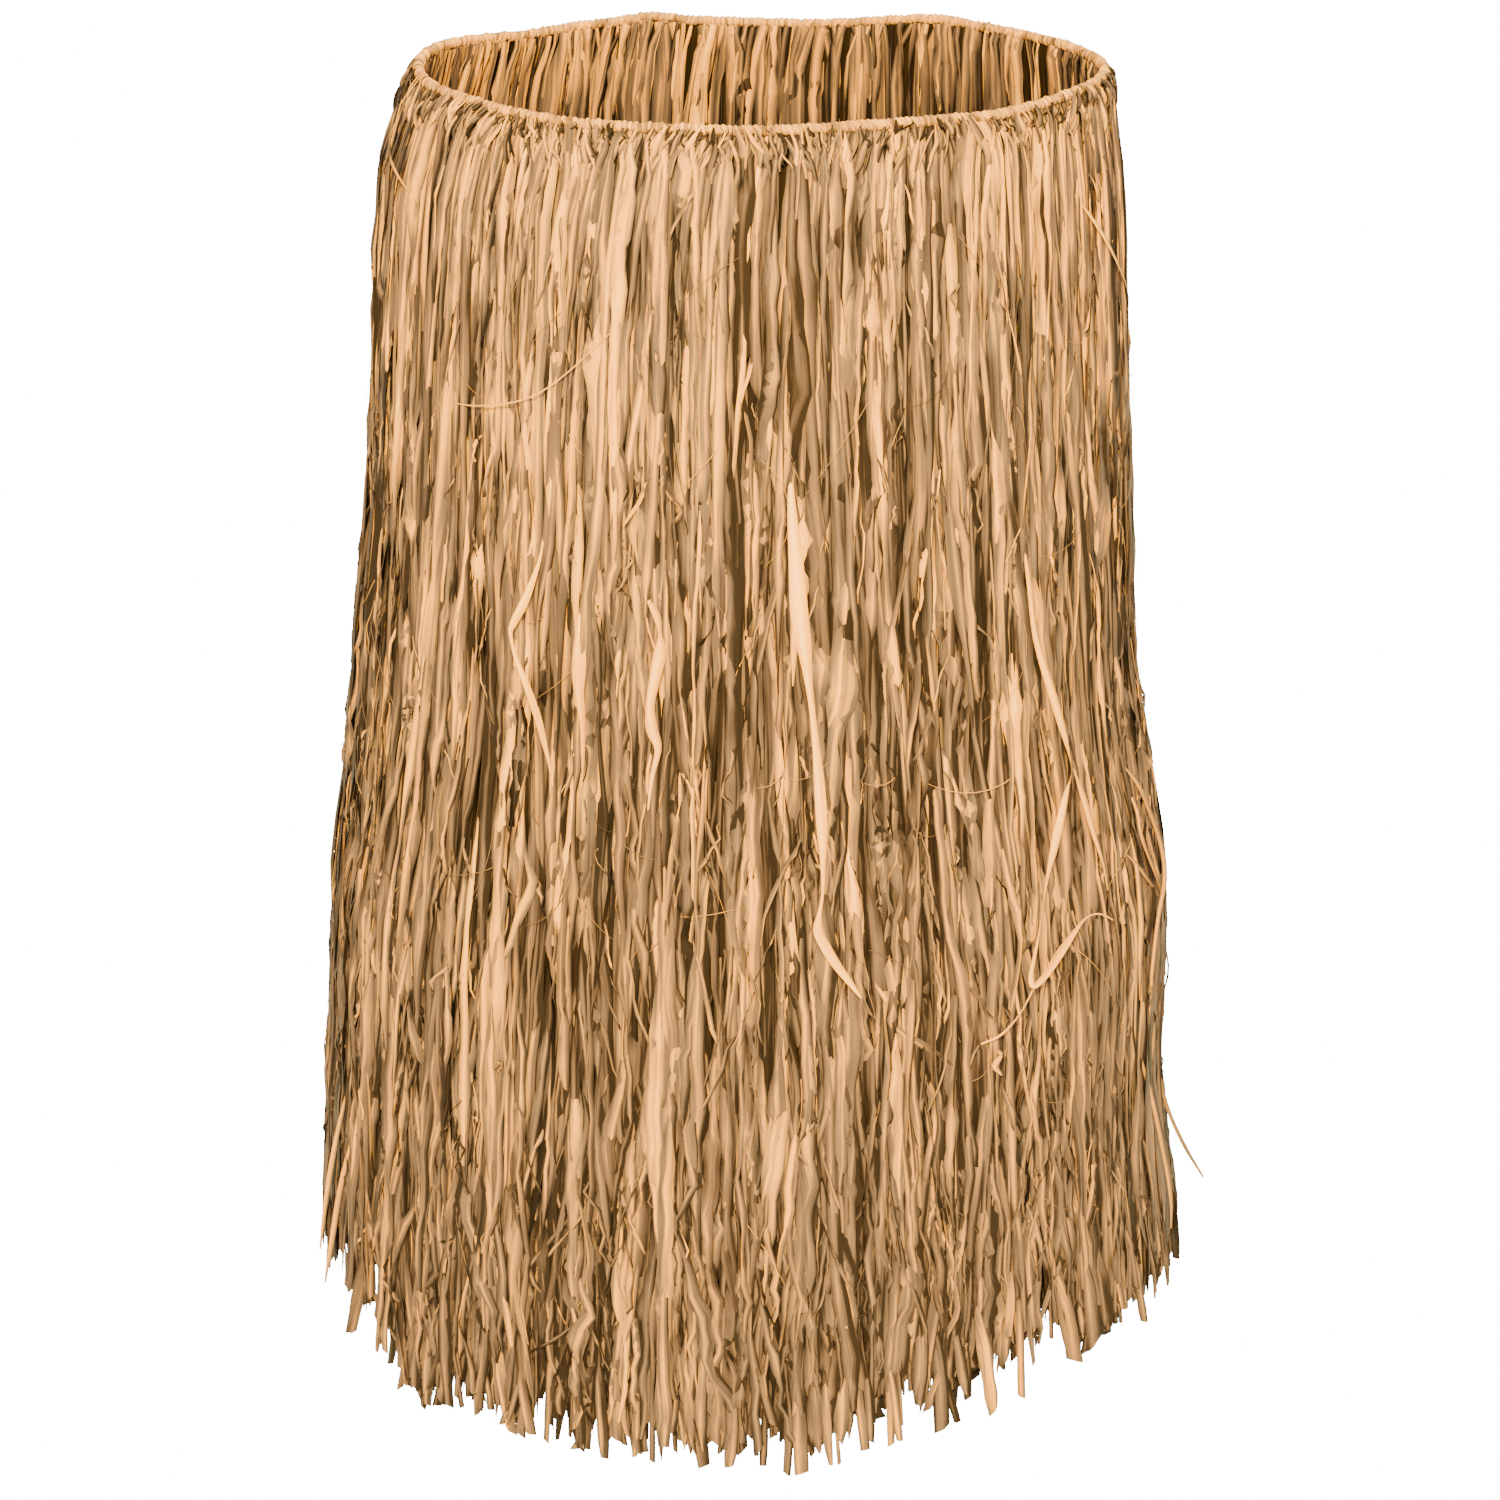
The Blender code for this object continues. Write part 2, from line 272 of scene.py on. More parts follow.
def smooth_step(value: Array, low: float, high: float) -> Array:
    """0 below low and 1 above high, easing between them as 3t^2 - 2t^3."""
    share = np.clip((value - low) / (high - low), 0.0, 1.0)
    return share * share * (3.0 - 2.0 * share)


def rise(start: float, share: Array) -> Array:
    """From the start, where the share is 0, to 1, where it is 1."""
    return start + (1.0 - start) * share


def in_metres(rows: Table, units: tuple[tuple[float, ...], tuple[float, ...]]) -> Array:
    """A table's rows, filled up with zeros, over the first units and times the second."""
    width = len(units[0])
    return np.array([(*row, *[0] * width)[:width] for row in rows]) / units[0] * units[1]


@dataclass(frozen=True)
class Draw:
    """Random columns from one source, with a row for each strip."""

    chance: np.random.Generator
    count: int

    FALL = 0.7  # power of the cycles by which a drift's swing gets smaller

    def bell(self, spread: float, middle: float = 0.0) -> Array:
        """Normal draws about the middle."""
        return self.chance.normal(middle, spread, (self.count, 1))

    def between(self, low: float, high: float) -> Array:
        """Even draws from low to high."""
        return self.chance.uniform(low, high, (self.count, 1))

    def share(self) -> Array:
        """Even draws from 0 to 1."""
        return self.chance.random((self.count, 1))

    def drift(self, along: Array, cycles: tuple[float, ...], size: float) -> Array:
        """Smooth random drift along each strip.

        A sum of sines of the place along, one for each number of cycles, each with a random phase
        and a normal swing that gets smaller by a power of the cycles.

        Args:
            along: Places along the strips, 0 to 1, with a row for each strip.
            cycles: How often each sine turns over a strip's length.
            size: The drift's spread.

        Returns:
            The drift, as large as along.
        """
        total = np.zeros_like(along)
        for number in cycles:
            swing = self.bell(1.0) / number**self.FALL
            total += swing * np.sin(TAU * number * along + self.between(0.0, TAU))
        return size * total / math.sqrt(sum(0.5 / number ** (2 * self.FALL) for number in cycles))

    def steps(self, sections: int) -> Array:
        """Even places of the sections along each strip, 0 to 1."""
        return np.linspace(0.0, 1.0, sections)[None, :] + np.zeros((self.count, 1))

    def blunt(self, half: Array, ends: Table) -> None:
        """Cut each strip's tip to a share of its width, drawn from ends, and the section before it.

        Args:
            half: Half widths, changed in place.
            ends: The shares, and how often each of them comes.
        """
        end = self.chance.choice(ends[0], (self.count, 1), p=ends[1])
        half[:, -1:] *= end
        half[:, -2:-1] *= 0.5 + 0.5 * np.sqrt(end)


# ------------------------------------------------------------------ strips of raffia


@dataclass
class Strips:
    """Many strips with the same number of sections, as arrays with a row for each strip."""

    middle: Array  # path of each strip's back
    facing: Array  # direction away from the wearer
    half_width: Array
    thickness: Array  # from the back to the fold's ridge
    ridge: Array  # the ridge's place across, -1 to 1
    roll: Array  # turn about the path
    slant: Array  # of the last section: one edge ends lower than the other
    tone: Array  # -1 dark to 1 pale

    @classmethod
    def on_form(
        cls, turn: Array, drop: Array, inward: Array, half_width: Array, thickness: Array, tone: Array,
        ridge: Array | float = 0.0, roll: Array | float = 0.0, slant: Array | float = 0.0,
    ) -> "Strips":
        """Strips whose backs lie on the skirt's form.

        Args:
            turn: Turn of each section.
            drop: Drop of each section.
            inward: Distance of each section inside the outer face.
            half_width: Half the width of each section.
            thickness: From the back to the ridge.
            tone: From dark to pale. This and the rest may be one for each strip or for all.
            ridge: The ridge's place across.
            roll: Turn about the path.
            slant: Of the last section.

        Returns:
            The strips.
        """
        looks = (np.broadcast_to(value, half_width.shape) for value in (thickness, ridge, roll, slant, tone))
        return cls(FORM.place(turn, drop, inward), FORM.outward(turn, drop), half_width, *looks)

    def corners(self) -> Array:
        """The three corners of each section: left edge, right edge and ridge.

        The path's tangent and the outward direction give a flat frame. It is rolled about the
        tangent, the edges lie to its sides and the ridge stands on it.

        Returns:
            Points with axes strip, section, corner and coordinate.
        """
        tangent = unit(np.gradient(self.middle, axis=1))
        along_normal = np.sum(self.facing * tangent, axis=-1, keepdims=True)
        normal = unit(self.facing - along_normal * tangent)
        side = np.cross(tangent, normal)
        cos, sin = np.cos(self.roll)[..., None], np.sin(self.roll)[..., None]
        across = cos * side + sin * normal
        raised = cos * normal - sin * side
        reach = across * self.half_width[..., None]
        left, right = self.middle - reach, self.middle + reach
        fold = self.middle + reach * self.ridge[..., None] + raised * self.thickness[..., None]
        corners = np.stack([left, right, fold], axis=2)
        tilt = tangent[:, -1] * self.slant[:, -1:]
        corners[:, -1, 0] += tilt
        corners[:, -1, 1] -= tilt
        return corners

    def lie(self, first: int) -> Array:
        """Place across and along each strip in metres, and the strip's number, at each corner."""
        steps = np.linalg.norm(np.diff(self.middle, axis=1), axis=-1)
        along = np.concatenate([np.zeros((len(steps), 1)), np.cumsum(steps, axis=1)], axis=1)
        width = 2.0 * self.half_width
        across = np.stack([np.zeros_like(width), width, width * (1.0 + self.ridge) / 2], axis=2)
        number = np.broadcast_to((first + np.arange(len(along)))[:, None, None], across.shape)
        return np.stack([across, np.broadcast_to(along[..., None], across.shape), number], axis=-1)


class StripMesh:
    """One mesh of many strips: closed three-sided bodies, rounded over the fold, crisp at their edges."""

    CORNERS = 3
    FOLD = 2
    STRIP_SHAPE = 79.0  # a strip's length over its way round, which sets the baking map's grid
    CELL_MARGIN = 0.06
    CAP_SHARE = 0.02
    CORNER_TONES = np.array([-0.92, -0.52, 0.52])  # painted shade and highlight across each strip: darker at both edges, most at the left one, and a painted highlight on the fold

    def __init__(self, name: str) -> None:
        """Start an empty mesh of that name."""
        self.name = name
        self.sets: list[Strips] = []

    def faces(self, count: int, rings: int, base: int) -> tuple[Array, Array]:
        """Corner numbers of each strip's side faces and of its two end caps.

        A strip's ring r has vertices 3r, 3r + 1 and 3r + 2. A side face joins corners c and c + 1
        of a ring to those of the next.

        Args:
            count: Number of strips.
            rings: Sections of each.
            base: Number of the first vertex.

        Returns:
            Quads by strip, ring, side and corner, and triangles by strip, end and corner.
        """
        start = base + np.arange(count)[:, None, None] * rings * self.CORNERS
        upper = start + np.arange(rings - 1)[None, :, None] * self.CORNERS
        lower = upper + self.CORNERS
        side = np.arange(self.CORNERS)[None, None, :]
        after = (side + 1) % self.CORNERS
        quads = np.stack([upper + side, lower + side, lower + after, upper + after], axis=-1)
        last = (rings - 1) * self.CORNERS
        return quads, start + np.array([[0, 1, 2], [last, last + 2, last + 1]])

    def bake_places(self, numbers: Array, rings: int, total: int) -> tuple[Array, Array]:
        """Places of the faces on the baking map, a grid with one upright cell for each strip.

        A cell's width is shared by the three sides and its height by the sections, with a sliver
        at each end for the caps.

        Args:
            numbers: The strips' numbers in the whole mesh.
            rings: Sections of each strip.
            total: Strips in the whole mesh.

        Returns:
            Map places of the quads' and of the triangles' corners.
        """
        rows = max(1, round(math.sqrt(total / self.STRIP_SHAPE)))
        columns = math.ceil(total / rows)
        wide = (1.0 - 2 * self.CELL_MARGIN) / columns
        tall = (1.0 - 2 * self.CELL_MARGIN) / rows
        left = (((numbers % columns) + self.CELL_MARGIN) / columns)[:, None, None]
        low = (((numbers // columns) + self.CELL_MARGIN) / rows)[:, None, None]
        side = np.arange(self.CORNERS)[None, None, :, None] + np.array([0, 0, 1, 1])
        down = np.arange(rings - 1)[None, :, None, None] + np.array([0, 1, 1, 0])
        share = self.CAP_SHARE + (1.0 - 2 * self.CAP_SHARE) * (1.0 - down / (rings - 1))
        quads = left[..., None] + wide * side / self.CORNERS, low[..., None] + tall * share
        cap_u = np.array([[0.0, 1.0, 0.5], [0.0, 0.5, 1.0]])
        edge = self.CAP_SHARE / 2
        cap_v = np.array([[1.0 - edge, 1.0 - edge, 1.0], [edge, 0.0, edge]])
        caps = left + wide * cap_u, low + tall * cap_v
        return tuple(np.stack(np.broadcast_arrays(*places), axis=-1) for places in (quads, caps))

    def build(self) -> bpy.types.Object:
        """Join the sets into one mesh object.

        Returns:
            The object, at the origin, with the attributes lie and tone and the baking map.
        """
        total = sum(len(strips.middle) for strips in self.sets)
        points, lies, tones, ends, loops, sizes, places = [], [], [], [], [], [], []
        base = first = 0
        for strips in self.sets:
            count, rings = strips.middle.shape[:2]
            points.append(strips.corners().reshape(-1, 3))
            lies.append(strips.lie(first).reshape(-1, 3))
            # painted shade and highlight across each strip, added to the strip's own tone
            tones.append((strips.tone[..., None] + self.CORNER_TONES).reshape(-1))
            end = np.zeros((count, rings, self.CORNERS), dtype=bool)
            end[:, (0, -1)] = True
            ends.append(end.reshape(-1))
            faces = self.faces(count, rings, base)
            loops += [part.reshape(-1) for part in faces]
            places += [part.reshape(-1) for part in self.bake_places(first + np.arange(count), rings, total)]
            sizes += [np.full(part[..., 0].size, part.shape[-1]) for part in faces]
            base += count * rings * self.CORNERS
            first += count
        piece = make_piece(self.name, *map(np.concatenate, (points, loops, sizes, places, lies, tones)))
        self.crease(piece.data, np.concatenate(ends))
        return piece

    def crease(self, mesh: bpy.types.Mesh, at_end: Array) -> None:
        """Mark the outer lengthwise edges and the caps' rims sharp, and leave the fold round."""
        pairs = np.empty(len(mesh.edges) * 2, dtype=np.int32)
        mesh.edges.foreach_get("vertices", pairs)
        pairs = pairs.reshape(-1, 2)
        ring = pairs // self.CORNERS
        at_fold = pairs[:, 0] % self.CORNERS == self.FOLD
        sharp = ((ring[:, 0] != ring[:, 1]) & ~at_fold) | at_end[pairs].all(axis=1)
        mesh.attributes.new("sharp_edge", "BOOLEAN", "EDGE").data.foreach_set("value", sharp)


def make_piece(
    name: str, points: Array, loops: Array, sizes: Array, places: Array, lie: Array, tone: Array
) -> bpy.types.Object:
    """A smooth mesh object from flat arrays.

    Args:
        name: The piece's name.
        points: Vertex places.
        loops: Vertex numbers of the faces' corners, face after face.
        sizes: Corners of each face.
        places: Baking map places of the corners.
        lie: Each vertex's place across and along its strip, and the strip's number.
        tone: Each vertex's tone.

    Returns:
        The object, in the scene.
    """
    mesh = bpy.data.meshes.new(name)
    mesh.vertices.add(len(points))
    mesh.vertices.foreach_set("co", singles(points))
    mesh.loops.add(len(loops))
    mesh.loops.foreach_set("vertex_index", loops.astype(np.int32))
    mesh.polygons.add(len(sizes))
    starts = np.concatenate(([0], np.cumsum(sizes)[:-1]))
    mesh.polygons.foreach_set("loop_start", starts.astype(np.int32))
    mesh.polygons.foreach_set("use_smooth", np.ones(len(sizes), dtype=bool))
    mesh.update(calc_edges=True)
    mesh.uv_layers.new(name=BAKE_MAP).uv.foreach_set("vector", singles(places))
    mesh.attributes.new("lie", "FLOAT_VECTOR", "POINT").data.foreach_set("vector", singles(lie))
    mesh.attributes.new("tone", "FLOAT", "POINT").data.foreach_set("value", singles(tone))
    return add_object(name, mesh)


def singles(values: Array) -> Array:
    """The values as one row of single floats."""
    return values.astype(np.float32).reshape(-1)


def add_object(name: str, data: bpy.types.ID) -> bpy.types.Object:
    """An object of the data, in the scene."""
    made = bpy.data.objects.new(name, data)
    bpy.context.scene.collection.objects.link(made)
    return made


def grid_quads(grid: Array) -> Array:
    """Quads of a grid of vertex numbers."""
    corners = grid[:-1, :-1], grid[1:, :-1], grid[1:, 1:], grid[:-1, 1:]
    return np.stack(corners, axis=-1).reshape(-1, 4)


# ------------------------------------------------------------------ how strips hang


WIDEST = 0.0125
NARROWEST = 0.0009
TIP_TONE = 0.30  # a strip's very tip is darker by this much


@dataclass(frozen=True)
class Locks:
    """The locks that a quarter's strips gather into towards the hem, as columns with a row a lock."""

    turn: Array
    tip: Array  # drop of its longest strip
    stand: Array  # inwards at the hem
    lean: Array  # sideways at the hem
    tone: Array

    COUNT = 32
    UNEVENNESS = 0.30  # of the lock's places, over the room of one
    SHORTFALL = 0.018
    SHORTER = 0.006  # than the tips that hang clear
    SHORTNESS = 1.2
    POINT = 0.020  # a strip at a lock's side ends this much above its middle ones
    STAND, LEAN, TONE = 1.5 * MM, 2.5 * MM, 0.05

    @classmethod
    def drawn(cls, quarter: Quarter, chance: np.random.Generator) -> "Locks":
        """Random locks, evenly spaced across a quarter."""
        draw = Draw(chance, cls.COUNT)
        middle = np.arange(cls.COUNT)[:, None] + 0.5
        share = (middle + draw.between(-cls.UNEVENNESS, cls.UNEVENNESS)) / cls.COUNT
        turn = quarter.start + share / len(Quarter)
        tip = FORM.hem_drop(turn) - cls.SHORTER - cls.SHORTFALL * draw.share() ** cls.SHORTNESS
        return cls(turn, tip, draw.bell(cls.STAND), draw.bell(cls.LEAN), draw.bell(cls.TONE))


class Reach(Enum):
    """Where a strip begins and ends."""

    FULL = "from the cord to the hem"
    CORD = "from the cord, lost among the others lower down"
    LOOSE = "lost among the others at both ends"
    HEM = "coming out among the others and ending at the hem"

    @property
    def from_cord(self) -> bool:
        """Whether it hangs from the cord."""
        return self in (Reach.FULL, Reach.CORD)

    @property
    def to_hem(self) -> bool:
        """Whether its tip shows at the hem."""
        return self in (Reach.FULL, Reach.HEM)


@dataclass(frozen=True)
class StripKind:
    """One kind of strip: how many a quarter has, how wide they are and how they hang."""

    reach: Reach
    count: int
    sections: int
    width: float  # the middle one's
    inward: Range
    span: Range = (0.14, 0.36)  # length, unless it hangs all the way
    start: Range = (0.010, 0.640)  # drop of a loose strip's upper end
    width_spread: float = 0.42  # of the logarithm
    ragged_width: float = 0.13  # from section to section
    weave: float = 0.9 * MM  # in and out
    wander: float = 3.2 * MM  # sideways at the hem
    crinkle: float = 0.58 * MM  # at each section
    slope: float = 0.048  # sideways for its length
    hitch: float = 4.2 * MM  # sideways under the cord
    seat: float = 4.0 * MM  # inwards, where it goes under the cord
    roll: float = 0.62
    twisted: float = 0.16  # share of the strips that turn over on their way
    flatness: Range = (0.12, 0.50)
    shortfall: float = 0.006  # of the tips, above the lock's own
    tone: float = -0.10
    tone_spread: float = 0.42
    facing: float = 0.0  # added to the roll: pi turns the ridges inwards
    start_bias: float = 1.0  # below 1, more of the strips start low down
    shade: float = 165.0  # loss of tone for each metre inwards, painted shade among the others
    fade: float = 0.0  # loss of tone some way below the cord, painted shade inside the skirt


class Hang:
    """Strips of one kind across one quarter.

    A strip belongs to a lock. It hangs at the lock's turn plus its own place in the lock, which
    closes up towards the hem, and drifts sideways with the skirt's sway, the lock's lean and its
    own wander. Its depth, width, roll and tone drift slowly along it too.
    """

    LOCK_SPREAD = 0.42  # of a strip's place in its lock, over the lock's room
    NARROW = (0.0020, 0.0050)  # widths between which the strips get longer
    NARROW_SHORTFALL = 0.012  # a narrow strip ends this much higher
    ROOTS = (0.0008, 0.0026)  # drops of the upper ends under the cord
    CROWDING = 1.35  # power that crowds the sections towards the cord
    SECTION_DRIFT = 0.33  # of a section's place, over a step
    END_CLEARANCE = 0.004  # of a loose strip's lower end, above the tips
    CLOSING = 0.45  # how far a lock closes up at the hem
    CLOSING_EARLY = 0.25  # part of that which comes by the square of the drop
    CLOSING_FROM = 0.80  # of the length, where the rest begins
    UNRULY = (0.16, 2.4)  # share of the strips that wander further, and how much
    WANDER_CYCLES = (0.6, 1.3, 2.4, 4.3)
    AT_CORD = (0.25, 0.35)  # share of the wander and of the weave that there is at the cord
    CRINKLE_AT_CORD = 0.55  # share of the crinkle at the cord; the depth is added to it
    SLOPE_AT_CORD = 0.5  # the same of the slope
    LOOSE_WIDTH = 5.5 * MM  # wider strips wander less
    CALM_WIDTH = 4.0 * MM  # wider strips crinkle and roll less
    LEAST = (0.5, 0.45)  # share of the wander and of the crinkle that they keep
    HITCH_DROP = 0.024  # below it a strip hangs freely
    SEAT_DROP = 0.0070  # below it a strip is clear of the cord
    TUCK = 0.0042  # how far a loose strip's ends hide among the others
    TUCKED = ((0.0, 0.20), (0.82, 1.0))  # shares of its length where they come out and go in
    WEAVE_CYCLES = (0.8, 1.9, 3.7)
    GATHER_SHARE = 0.62  # of the width that is left under the cord
    GATHER_DROPS = (0.004, 0.045)  # between them the strips reach their full width
    SWELL = 0.24
    SWELL_CYCLES = (1.1, 2.7, 5.1)
    SWELL_LIMIT = 0.5
    RAGGED_LIMITS = (0.6, 1.5)
    ENDS = ((0.95, 0.75, 0.40, 0.12), (0.42, 0.28, 0.18, 0.12))
    POINT_WIDTH = 0.22  # of a loose end, over the strip's own
    POINTS = ((-0.02, 0.14), (0.87, 1.02))  # shares of the length where it widens and narrows
    FLAT_WIDTH = 3.2 * MM  # wider strips are flatter, within limits
    FLAT_LIMITS = (0.35, 1.3)
    ROLL = 0.32
    ROLL_CYCLES = (0.9, 2.1, 4.2)
    ROLL_DROPS = (-0.015, 0.06)  # between them the strips begin to roll
    TURN_AT = (0.15, 0.85)  # share of the length where a strip turns over
    TURN_LENGTH = 0.25  # of a strip, in which it does
    HEM_ROLL_LOSS = 0.65
    HEM_ROLL_SHARES = (0.75, 1.0)
    EDGE_LIFT = 0.75  # a rolled strip's edge stays this far clear of the others
    LIFT_DROP = 0.02  # drop below which it does
    TONE_DRIFT = 0.20
    TONE_CYCLES = (0.7, 1.9, 4.0)
    HEM_EVENNESS = 0.55  # nearer to each other in tone at the hem
    EVEN_DEPTHS = (0.40, 0.85)
    HEADING_TONE = 0.24  # paler under the cord
    HEADING_DROPS = (0.02, 0.32)
    HEM_TONE = 0.45  # darker at the hem
    HEM_DEPTHS = (0.45, 0.95)
    FADE_DROPS = (0.02, 0.09)
    TIP_SHARES = (0.94, 1.0)
    RIDGE = 0.55
    SLANT = 1.2
    TONE_LIMIT = 1.2

    def __init__(self, kind: StripKind, locks: Locks, chance: np.random.Generator) -> None:
        """Draw each strip's lock and width and where it begins and ends.

        Args:
            kind: What the strips are like.
            locks: The quarter's locks.
            chance: The source of the random draws.
        """
        self.kind, self.locks = kind, locks
        self.draw = draw = Draw(chance, kind.count)
        reach = kind.reach
        self.lock = chance.integers(0, Locks.COUNT, kind.count)
        self.within = draw.bell(self.LOCK_SPREAD)
        self.width = np.clip(kind.width * np.exp(draw.bell(kind.width_spread)), NARROWEST, WIDEST)
        tip = locks.tip[self.lock] - np.abs(draw.bell(kind.shortfall)) - Locks.POINT * np.abs(self.within)
        tip = tip - self.NARROW_SHORTFALL * (1.0 - smooth_step(self.width, *self.NARROW))
        span = draw.between(*kind.span)
        if reach.from_cord:
            top = draw.between(*self.ROOTS)
            bottom = tip if reach.to_hem else top + span
        elif reach.to_hem:
            top, bottom = tip - span, tip
        else:
            top = kind.start[0] + (kind.start[1] - kind.start[0]) * draw.share() ** kind.start_bias
            bottom = np.minimum(top + span, tip - self.END_CLEARANCE)
        steps = draw.steps(kind.sections)
        inner = (kind.count, kind.sections - 2)
        steps[:, 1:-1] += chance.uniform(-self.SECTION_DRIFT, self.SECTION_DRIFT, inner) / (kind.sections - 1)
        self.share = steps ** (self.CROWDING if reach.from_cord else 1.0)
        self.drop = top + (bottom - top) * self.share
        self.depth = np.clip(self.drop / FORM.length, 0.0, 1.0)
        self.calm = np.clip(self.CALM_WIDTH / self.width, self.LEAST[1], 1.0)

    def turn(self) -> Array:
        """The turn of each section."""
        kind, draw, share, drop, depth = self.kind, self.draw, self.share, self.drop, self.depth
        room = 1.0 / (len(Quarter) * Locks.COUNT)
        late = smooth_step(depth, self.CLOSING_FROM, 1.0)
        closing = self.CLOSING_EARLY * depth**2 + (1.0 - self.CLOSING_EARLY) * late
        base = self.locks.turn[self.lock] + self.within * (1.0 - self.CLOSING * closing) * room
        unruly = np.where(draw.share() < self.UNRULY[0], self.UNRULY[1], 1.0)
        unruly = unruly * np.clip(self.LOOSE_WIDTH / self.width, self.LEAST[0], 1.0)
        slide = self.locks.lean[self.lock] * depth**2 + FORM.sway(base, drop)
        slide += draw.drift(share, self.WANDER_CYCLES, kind.wander) * unruly * rise(self.AT_CORD[0], depth)
        crinkle = draw.chance.normal(0.0, kind.crinkle, drop.shape)
        slide += crinkle * (self.CRINKLE_AT_CORD + depth) * self.calm
        if kind.reach is not Reach.FULL:
            middle = drop.mean(axis=1, keepdims=True)
            slide += draw.bell(kind.slope) * (drop - middle) * (self.SLOPE_AT_CORD + depth)
        if kind.reach.from_cord:
            slide += draw.bell(kind.hitch) * (1.0 - smooth_step(drop, 0.0, self.HITCH_DROP))
        return base + slide / FORM.girth(drop)

    def inward(self) -> Array:
        """How far inside the outer face each section lies."""
        kind, share, depth = self.kind, self.share, self.depth
        inward = self.draw.between(*kind.inward) + self.locks.stand[self.lock] * depth**2
        weave = self.draw.drift(share, self.WEAVE_CYCLES, kind.weave)
        inward = inward + weave * rise(self.AT_CORD[1], depth)
        if kind.reach.from_cord:
            inward = kind.seat + (inward - kind.seat) * smooth_step(self.drop, 0.0, self.SEAT_DROP)
        else:
            inward = inward + self.TUCK * (1.0 - smooth_step(share, *self.TUCKED[0]))
        return inward if kind.reach.to_hem else inward + self.TUCK * smooth_step(share, *self.TUCKED[1])

    def half_width(self) -> Array:
        """Half the width of each section, which swells, gathers under the cord and ends."""
        kind, draw, share = self.kind, self.draw, self.share
        swell = draw.drift(share, self.SWELL_CYCLES, self.SWELL)
        swell = 1.0 + np.clip(swell, -self.SWELL_LIMIT, self.SWELL_LIMIT)
        ragged = draw.chance.normal(1.0, kind.ragged_width, share.shape)
        swell = swell * np.clip(ragged, *self.RAGGED_LIMITS)
        gather = rise(self.GATHER_SHARE, smooth_step(self.drop, *self.GATHER_DROPS))
        half = 0.5 * self.width * swell * gather
        if not kind.reach.from_cord:
            half *= rise(self.POINT_WIDTH, smooth_step(share, *self.POINTS[0]))
        if kind.reach.to_hem:
            draw.blunt(half, self.ENDS)
        else:
            half *= 1.0 - (1.0 - self.POINT_WIDTH) * smooth_step(share, *self.POINTS[1])
        return half

    def roll(self) -> Array:
        """How far each section turns about its path. It drifts, and some strips turn over on their way."""
        kind, draw, share = self.kind, self.draw, self.share
        roll = draw.bell(self.ROLL) + draw.drift(share, self.ROLL_CYCLES, kind.roll)
        turned = draw.share() < kind.twisted
        over = np.clip((share - draw.between(*self.TURN_AT)) / self.TURN_LENGTH + 0.5, 0.0, 1.0)
        way = draw.chance.choice([-math.pi, math.pi], (draw.count, 1))
        roll = roll * self.calm + np.where(turned, way, 0.0) * over
        roll = roll * smooth_step(self.drop, *self.ROLL_DROPS)
        if kind.reach.to_hem:
            roll = roll * (1.0 - self.HEM_ROLL_LOSS * smooth_step(share, *self.HEM_ROLL_SHARES))
        return roll

    def tone(self, inward: Array) -> Array:
        """How pale each section is: darker and more even at the hem, with painted shade where it lies deep
        and, for kinds that fade, some way below the cord.
        """
        kind, drop, depth, share = self.kind, self.drop, self.depth, self.share
        tone = kind.tone + self.locks.tone[self.lock] + self.draw.bell(kind.tone_spread)
        tone = tone + self.draw.drift(share, self.TONE_CYCLES, self.TONE_DRIFT)
        tone = tone * (1.0 - self.HEM_EVENNESS * smooth_step(depth, *self.EVEN_DEPTHS))
        tone = tone + self.HEADING_TONE * (1.0 - smooth_step(drop, *self.HEADING_DROPS))
        tone = tone - self.HEM_TONE * smooth_step(depth, *self.HEM_DEPTHS)
        # painted shade some way below the cord, for kinds that fade
        tone = tone - kind.fade * smooth_step(drop, *self.FADE_DROPS)
        if kind.reach.to_hem:
            tone = tone - TIP_TONE * smooth_step(share, *self.TIP_SHARES)
        # painted shade: the deeper a section lies among the others, the darker it is
        tone = tone - kind.shade * (inward - sum(kind.inward) / 2)
        return np.clip(tone, -self.TONE_LIMIT, self.TONE_LIMIT)

    def strips(self) -> Strips:
        """The strips. The order of the steps is the order of the random draws."""
        draw = self.draw
        turn, inward, half = self.turn(), self.inward(), self.half_width()
        narrow = np.clip(self.FLAT_WIDTH / self.width, *self.FLAT_LIMITS)
        flatness = draw.between(*self.kind.flatness) * narrow
        roll = self.roll()
        lift = self.EDGE_LIFT * half * np.abs(np.sin(roll)) * smooth_step(self.drop, 0.0, self.LIFT_DROP)
        inward = inward + lift
        tone = self.tone(inward)
        return Strips.on_form(
            turn, self.drop, inward, half,
            thickness=2.0 * half * flatness,
            ridge=draw.between(-self.RIDGE, self.RIDGE),
            roll=roll + self.kind.facing,
            slant=draw.between(-self.SLANT, self.SLANT) * half[:, -1:],
            tone=tone,
        )


